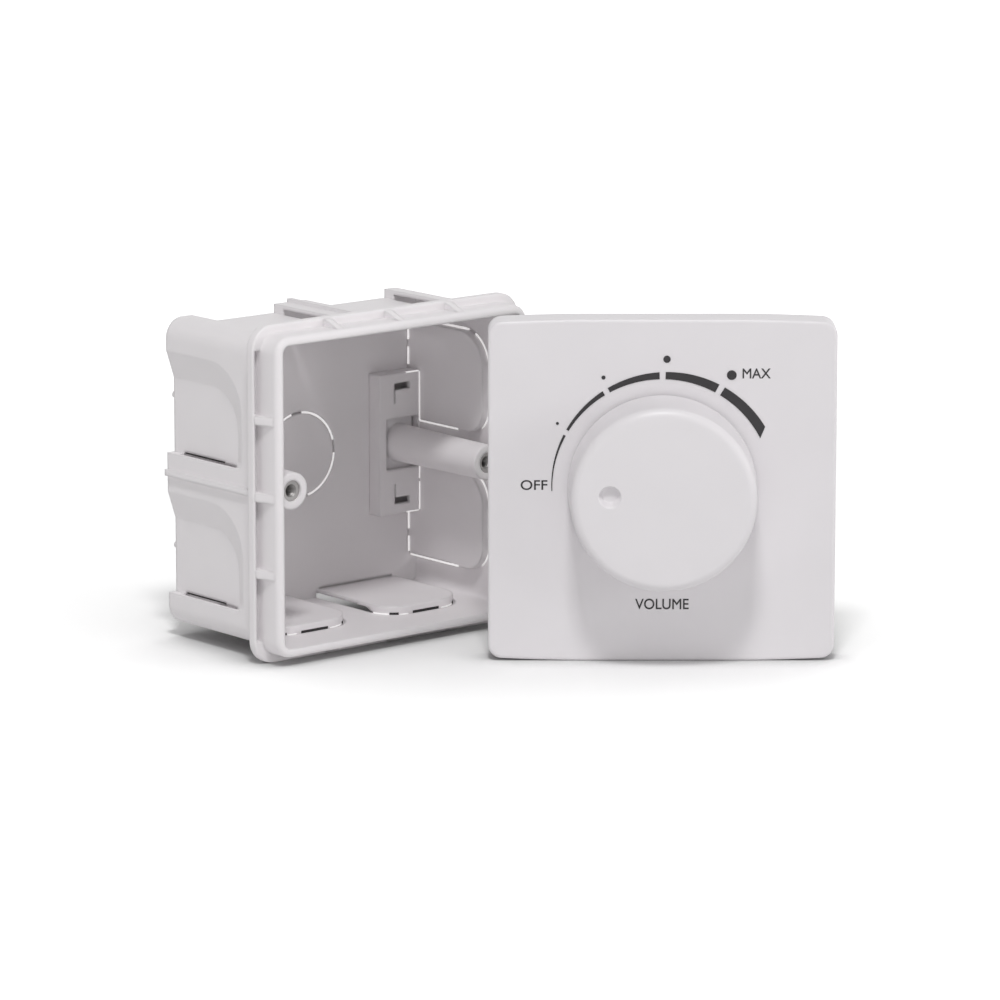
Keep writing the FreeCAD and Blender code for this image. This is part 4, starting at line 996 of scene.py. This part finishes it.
# %% Strips on the floor
DARK_TALL = 0.55
LIT_TALL = 0.25
LIT_LOW = 0.12
CORNER_DARK, FAR_DARK = (225, 246), (306, 330)
CORNER_LIT_TALL, CORNER_LIT_LOW, FAR_LIT_LOW = (184, 223), (248, 270), (272, 304)
FRONT_DARK_GAPS = (1.5, 0.5)
# Dark strips are painted shade in the open slits, lit strips are painted light where the groove is closed.
bars = []
lit = []
for start in PANEL_STARTS:
    near_x = start + KNOCKOUT_CORNER + FRONT_DARK_GAPS[0]
    far_x = start + PANEL_WIDTH - KNOCKOUT_ARC - FRONT_DARK_GAPS[1]
    front_line = [(near_x, KNOCKOUT_FRONT), (far_x, KNOCKOUT_FRONT)]
    bars.extend(foot_bar(path, DARK_TALL) for path in
                (corner_arc(start, *CORNER_DARK), front_line, far_arc(start, *FAR_DARK)))
    lit.append(foot_bar(corner_arc(start, *CORNER_LIT_TALL), LIT_TALL))
    lit.append(foot_bar(corner_arc(start, *CORNER_LIT_LOW), LIT_LOW))
    lit.append(foot_bar(far_arc(start, *FAR_LIT_LOW), LIT_LOW))
lay_painted_shade("floor_slit_shade", bars)
lay_webs("knockout_webs_floor", lit)

# %% Strips along the ledges
SLIT_LENGTH = 17.0
SLIT_END = 0.6
SLIT_PLAY = 0.02
RECESS_FLOOR = 36.9
SLIT_LOW = PANEL_TOP + 0.2
SLIT_HIGH = RECESS_FLOOR - 0.15


def ledge_bar(start, wall, hand):
    """A strip of painted shade in the slit along one ledge, just under the recess's floor."""
    along = start + SLIT_HEIGHT / 2
    return bar([(along, BOX_REAR - SLIT_LENGTH), (along, BOX_REAR - SLIT_END)],
               SLIT_HEIGHT - SLIT_PLAY, SLIT_LOW, SLIT_HIGH,
               lambda x, y, h: on_wall(x, y, h, wall, hand))


bars = [ledge_bar(start, wall, hand) for start in PANEL_STARTS
        for wall, hand in ((LEFT_WALL, -1), (TOP_WALL, 1))]
lay_painted_shade("ledge_slit_shade", bars)

# %% [markdown]
# ## Light beside the retainer
#
# The raised plate on the box's back wall carries the sliding pillar. It's clipped in, not moulded
# on, so a hair of light runs along its right side and round the ends of that side. An open gap would
# need a lamp behind the box. The same glowing strips as in the grooves, painted light, are laid
# along those edges.

# %% Retainer light
RETAINER_FRONT = 38.1
RETAINER_EDGE = 35.9
RETAINER_LIT = ((5.3, 18.2), (-10.0, -5.3), (-18.2, -10.8))
RETAINER_END = 18.35
END_LIT = (4.5, 0.3)
LIT_INSET = 0.15
LINE_WIDTH = 0.3
# Painted light: glowing strips along the retainer's right side and ends.
side_x = RETAINER_EDGE - LIT_INSET
paths = [[(side_x, low), (side_x, high)] for low, high in RETAINER_LIT]
paths += [[(RETAINER_EDGE - inset, z) for inset in END_LIT] for z in (-RETAINER_END, RETAINER_END)]
lay_webs("retainer_light", [rear_bar(path, LINE_WIDTH, RETAINER_FRONT) for path in paths])

# %% [markdown]
# ## Threads
#
# The screws that hold the control bite into metal inserts with an M4 thread, one at the mouth of
# each pillar. A screw modifier could sweep a tooth round, and a bump could fake one. Here the
# wall of the bore is rows of points whose radius follows the pitch. That is a real ridge in one
# skin, and it fades at both ends, so it never stands out of the bore.

# %% Threads
BORE_R = 1.65
THREAD_PITCH = 0.7
THREAD_DEPTH = 0.32
THREAD_LENGTH = 11.0
THREAD_GAP = 0.03
BACK_GAP = 0.005
END_GAP = 0.1
THREAD_SECTORS = 40
ROWS_PER_TURN = 10
FADE_ROWS = 6.0


def bore_ring(x, y, radii):
    """A ring of a bore about x at depth y, with a radius for each sector."""
    circle = circle_points(1.0, THREAD_SECTORS)
    return [in_box(x + radius * a, y, radius * b) for radius, (a, b) in zip(radii, circle)]


def make_thread(name, x, front, length):
    """A helical thread inside a bore whose mouth is at front."""
    rows = int(length / THREAD_PITCH * ROWS_PER_TURN)
    loops = []
    for i in range(rows + 1):
        y = front + END_GAP + (length - 2 * END_GAP) * i / rows
        ends = min(1.0, i / FADE_ROWS, (rows - i) / FADE_ROWS)
        phases = [(y / THREAD_PITCH - j / THREAD_SECTORS) % 1.0 for j in range(THREAD_SECTORS)]
        ridges = [THREAD_DEPTH * (1 - abs(2 * phase - 1)) * ends for phase in phases]
        loops.append(bore_ring(x, y, [BORE_R - THREAD_GAP - ridge for ridge in ridges]))
    for y in (front + length - END_GAP, front + END_GAP):
        loops.append(bore_ring(x, y, [BORE_R - BACK_GAP] * THREAD_SECTORS))
    return new_mesh(name, *skin(loops))


print("a thread has", int(THREAD_LENGTH / THREAD_PITCH), "turns")

# %% Threads in the pillars
PILLAR_X = 30.15
THREAD_ANGLE = 50.0
for name, x, front, body in (("fixed_pillar_thread", -PILLAR_X, 7.6, ROOT),
                             ("sliding_pillar_thread", PILLAR_X, 4.2, "sliding_pillar")):
    made = make_thread(name, x, front, THREAD_LENGTH)
    smooth(made, THREAD_ANGLE)
    dress(made, materials["insert_steel"], body)
    print(name, "has", len(made.data.polygons), "faces")
for name in ("fixed_pillar_insert", "adjustable_pillar_insert"):
    nodes[name].data.materials[0] = materials["insert_steel"]

# %% [markdown]
# ## What the camera sees of the room
#
# A product photograph has a pure white ground, but a room as bright as that would wash every
# shadow out of the object. The ground could be painted white afterwards, but then its shadows go
# too. A renderer can tell rays that the camera sees, straight, in a mirror or through glass,
# from rays that only carry light. So the floor and the room each have two faces, one for each
# kind of ray, and a mix chooses between them.

# %% Seen rays
def calculated(tree, operation, first, second):
    """The result of a sum or a comparison of two values."""
    step = tree.nodes.new("ShaderNodeMath")
    step.operation = operation
    tree.links.new(first, step.inputs[0])
    tree.links.new(second, step.inputs[1])
    return step.outputs["Value"]


def choose_by_ray(tree, lighting, seen, output):
    """One shader for rays that carry light, another for rays that the camera sees."""
    ray = tree.nodes.new("ShaderNodeLightPath")
    direct = calculated(tree, "MAXIMUM", ray.outputs["Is Camera Ray"], ray.outputs["Is Glossy Ray"])
    every = calculated(tree, "MAXIMUM", direct, ray.outputs["Is Transmission Ray"])
    choice = tree.nodes.new("ShaderNodeMixShader")
    tree.links.new(every, choice.inputs["Fac"])
    tree.links.new(lighting, choice.inputs[1])
    tree.links.new(seen, choice.inputs[2])
    tree.links.new(choice.outputs["Shader"], tree.nodes[output].inputs["Surface"])


print("camera, mirror and glass rays count as seen")

# %% [markdown]
# ## Floor
#
# The object stands on a white sweep, and all that shows of it is the soft shadow round the
# pieces. A plain white plane turns grey far from the lamps, and a shadow catcher needs a second
# layer. Here the floor's lighting face is matt white. Its seen face is lit like any floor, carries
# painted shade within a centimetre of the object, and glows more the further it is from the
# object, so that it ends in clean white; the glow held back near the object is painted shade too.

# %% Floor that gives light back
FLOOR_CORNERS = [(-3000, -2600, 0), (3000, -2600, 0), (3000, 6000, 0), (-3000, 6000, 0)]
FLOOR_WHITE = (0.86, 0.86, 0.86)
FLOOR_SHEEN = 0.85
FLOOR_GLOSS = 0.2
FLOOR_CLOUDS = 8.0
SHEEN_PLAY = 0.05
floor = new_mesh("floor", FLOOR_CORNERS, [(0, 1, 2, 3)])
floor_white, tree, shader = plain_material("floor_white", FLOOR_WHITE, FLOOR_SHEEN,
                                           specular=FLOOR_GLOSS)
vary_roughness(tree, shader, noise(tree, FLOOR_CLOUDS), FLOOR_SHEEN - SHEEN_PLAY, FLOOR_SHEEN + SHEEN_PLAY)
print("floor faces", len(floor.data.polygons))

# %% Floor that is seen
AMBIENT_SAMPLES = 6
CONTACT = 0.012
CONTACT_RANGE, CONTACT_SHADE_TONES = (0.2, 1.0), (0.5, 1.0)
SURROUND = 0.16
SURROUND_RANGE = (0.55, 1.0)
GLOW_START, GLOW_END = 0.3, 0.9
NEAR_GLOW = 0.4


def nearness(tree, distance, source, target):
    """An occlusion value that changes as the floor gets clear of the object, by distance in metres, used
    to paint shade near the object.
    """
    ambient = tree.nodes.new("ShaderNodeAmbientOcclusion")
    ambient.samples = AMBIENT_SAMPLES
    ambient.inputs["Distance"].default_value = distance
    return remap(tree, ambient.outputs["AO"], source, target, "SMOOTHSTEP")


def distance_glow(tree):
    """A value that rises with the distance from the middle of the floor."""
    spot = tree.nodes.new("ShaderNodeTexCoord")
    reach = tree.nodes.new("ShaderNodeVectorMath")
    reach.operation = "LENGTH"
    tree.links.new(spot.outputs["Object"], reach.inputs[0])
    return remap(tree, reach.outputs["Value"], (GLOW_START, GLOW_END), (0.0, 1.0))


# Painted shade: near the object the seen floor's colour is darkened by ambient occlusion, and its glow is
# held back.
lit_sheet = tree.nodes.new("ShaderNodeBsdfDiffuse")
contact = nearness(tree, CONTACT, CONTACT_RANGE, CONTACT_SHADE_TONES)
tree.links.new(contact, lit_sheet.inputs["Color"])
glow = tree.nodes.new("ShaderNodeEmission")
near = nearness(tree, SURROUND, SURROUND_RANGE, (0.0, NEAR_GLOW))
tree.links.new(calculated(tree, "ADD", near, distance_glow(tree)), glow.inputs["Strength"])
together = tree.nodes.new("ShaderNodeAddShader")
tree.links.new(lit_sheet.outputs["BSDF"], together.inputs[0])
tree.links.new(glow.outputs["Emission"], together.inputs[1])
choose_by_ray(tree, shader.outputs["BSDF"], together.outputs["Shader"], "Material Output")
floor.data.materials.append(floor_white)
print("floor nodes", len(tree.nodes))

# %% [markdown]
# ## Room
#
# The walls of the studio give an even light from all sides, which fills the shadows. A picture
# of a real room would add its own tints and highlights. A plain background at about a
# third of full strength lights the object, and full white is what the camera sees behind it.

# %% Room
ROOM_LIGHT = 0.35
WHITE = (1.0, 1.0, 1.0, 1.0)
world = bpy.data.worlds.new("room")
bpy.context.scene.world = world
world.use_nodes = True
tree = world.node_tree
room = tree.nodes["Background"]
white_room = tree.nodes.new("ShaderNodeBackground")
for background, light in ((room, ROOM_LIGHT), (white_room, 1.0)):
    background.inputs["Color"].default_value = WHITE
    background.inputs["Strength"].default_value = light
choose_by_ray(tree, room.outputs["Background"], white_room.outputs["Background"], "World Output")
print("room light", ROOM_LIGHT)


# %% [markdown]
# ## Lamps
#
# In the photograph one lamp high in front drops the knob's shadow down the plate, and weaker
# light from both sides models the inside of the box. Point lamps would cut hard edges, and a
# painted sky is hard to steer. Five rectangular soft boxes are set by place, size and power: the
# key, two at the right, one at the left, and a low one in front. All look at the same point.

# %% Lamps
AIM = (-0.02, 0.0, 0.04)
LAMPS = {
    "key_light": ((-0.04, -0.62, 1.08), (0.18, 0.18), 6.3),
    "right_light": ((1.35, -0.20, 0.35), (0.4, 0.4), 3.0),
    "front_right_light": ((1.10, -0.75, 0.30), (0.5, 0.5), 1.5),
    "left_light": ((-1.20, -0.45, 0.25), (0.5, 0.5), 0.55),
    "front_light": ((-0.25, -1.10, 0.12), (0.5, 0.2), 0.6),
}


def soft_box(name, place, size, power):
    """A rectangular lamp that looks at the object."""
    lamp = bpy.data.lights.new(name, "AREA")
    lamp.shape = "RECTANGLE"
    lamp.size, lamp.size_y = size
    lamp.energy = power
    made = in_scene(name, lamp)
    made.location = place
    made.rotation_euler = (Vector(AIM) - Vector(place)).to_track_quat("-Z", "Y").to_euler()


for name, values in LAMPS.items():
    soft_box(name, *values)
print("lamps", len(bpy.data.lights))

# %% [markdown]
# ## Camera
#
# The photograph was taken from more than a metre away with a long lens, a little from above, so
# uprights stay almost parallel. A camera can be nudged by eye until the picture looks right. This
# one was worked out from the corners of the plate and the box, which ties place, tilt and lens
# together. The view transform is the plain one, so that white stays white.

# %% Camera
SENSOR_WIDTH = 36.0
FOCAL_LENGTH = 202.0
CAMERA_PLACE = (-0.0400, -1.3626, 0.3189)
CAMERA_TILT = 0.202
CLIP_NEAR, CLIP_FAR = 0.05, 20.0
lens = bpy.data.cameras.new("camera")
lens.sensor_width = SENSOR_WIDTH
lens.lens = FOCAL_LENGTH
lens.clip_start = CLIP_NEAR
lens.clip_end = CLIP_FAR
camera = in_scene("camera", lens)
camera.location = CAMERA_PLACE
camera.rotation_euler = (math.pi / 2 - CAMERA_TILT, 0.0, 0.0)
bpy.context.scene.camera = camera
bpy.context.scene.view_settings.view_transform = "Standard"
print("camera at", [round(v, 4) for v in camera.location])
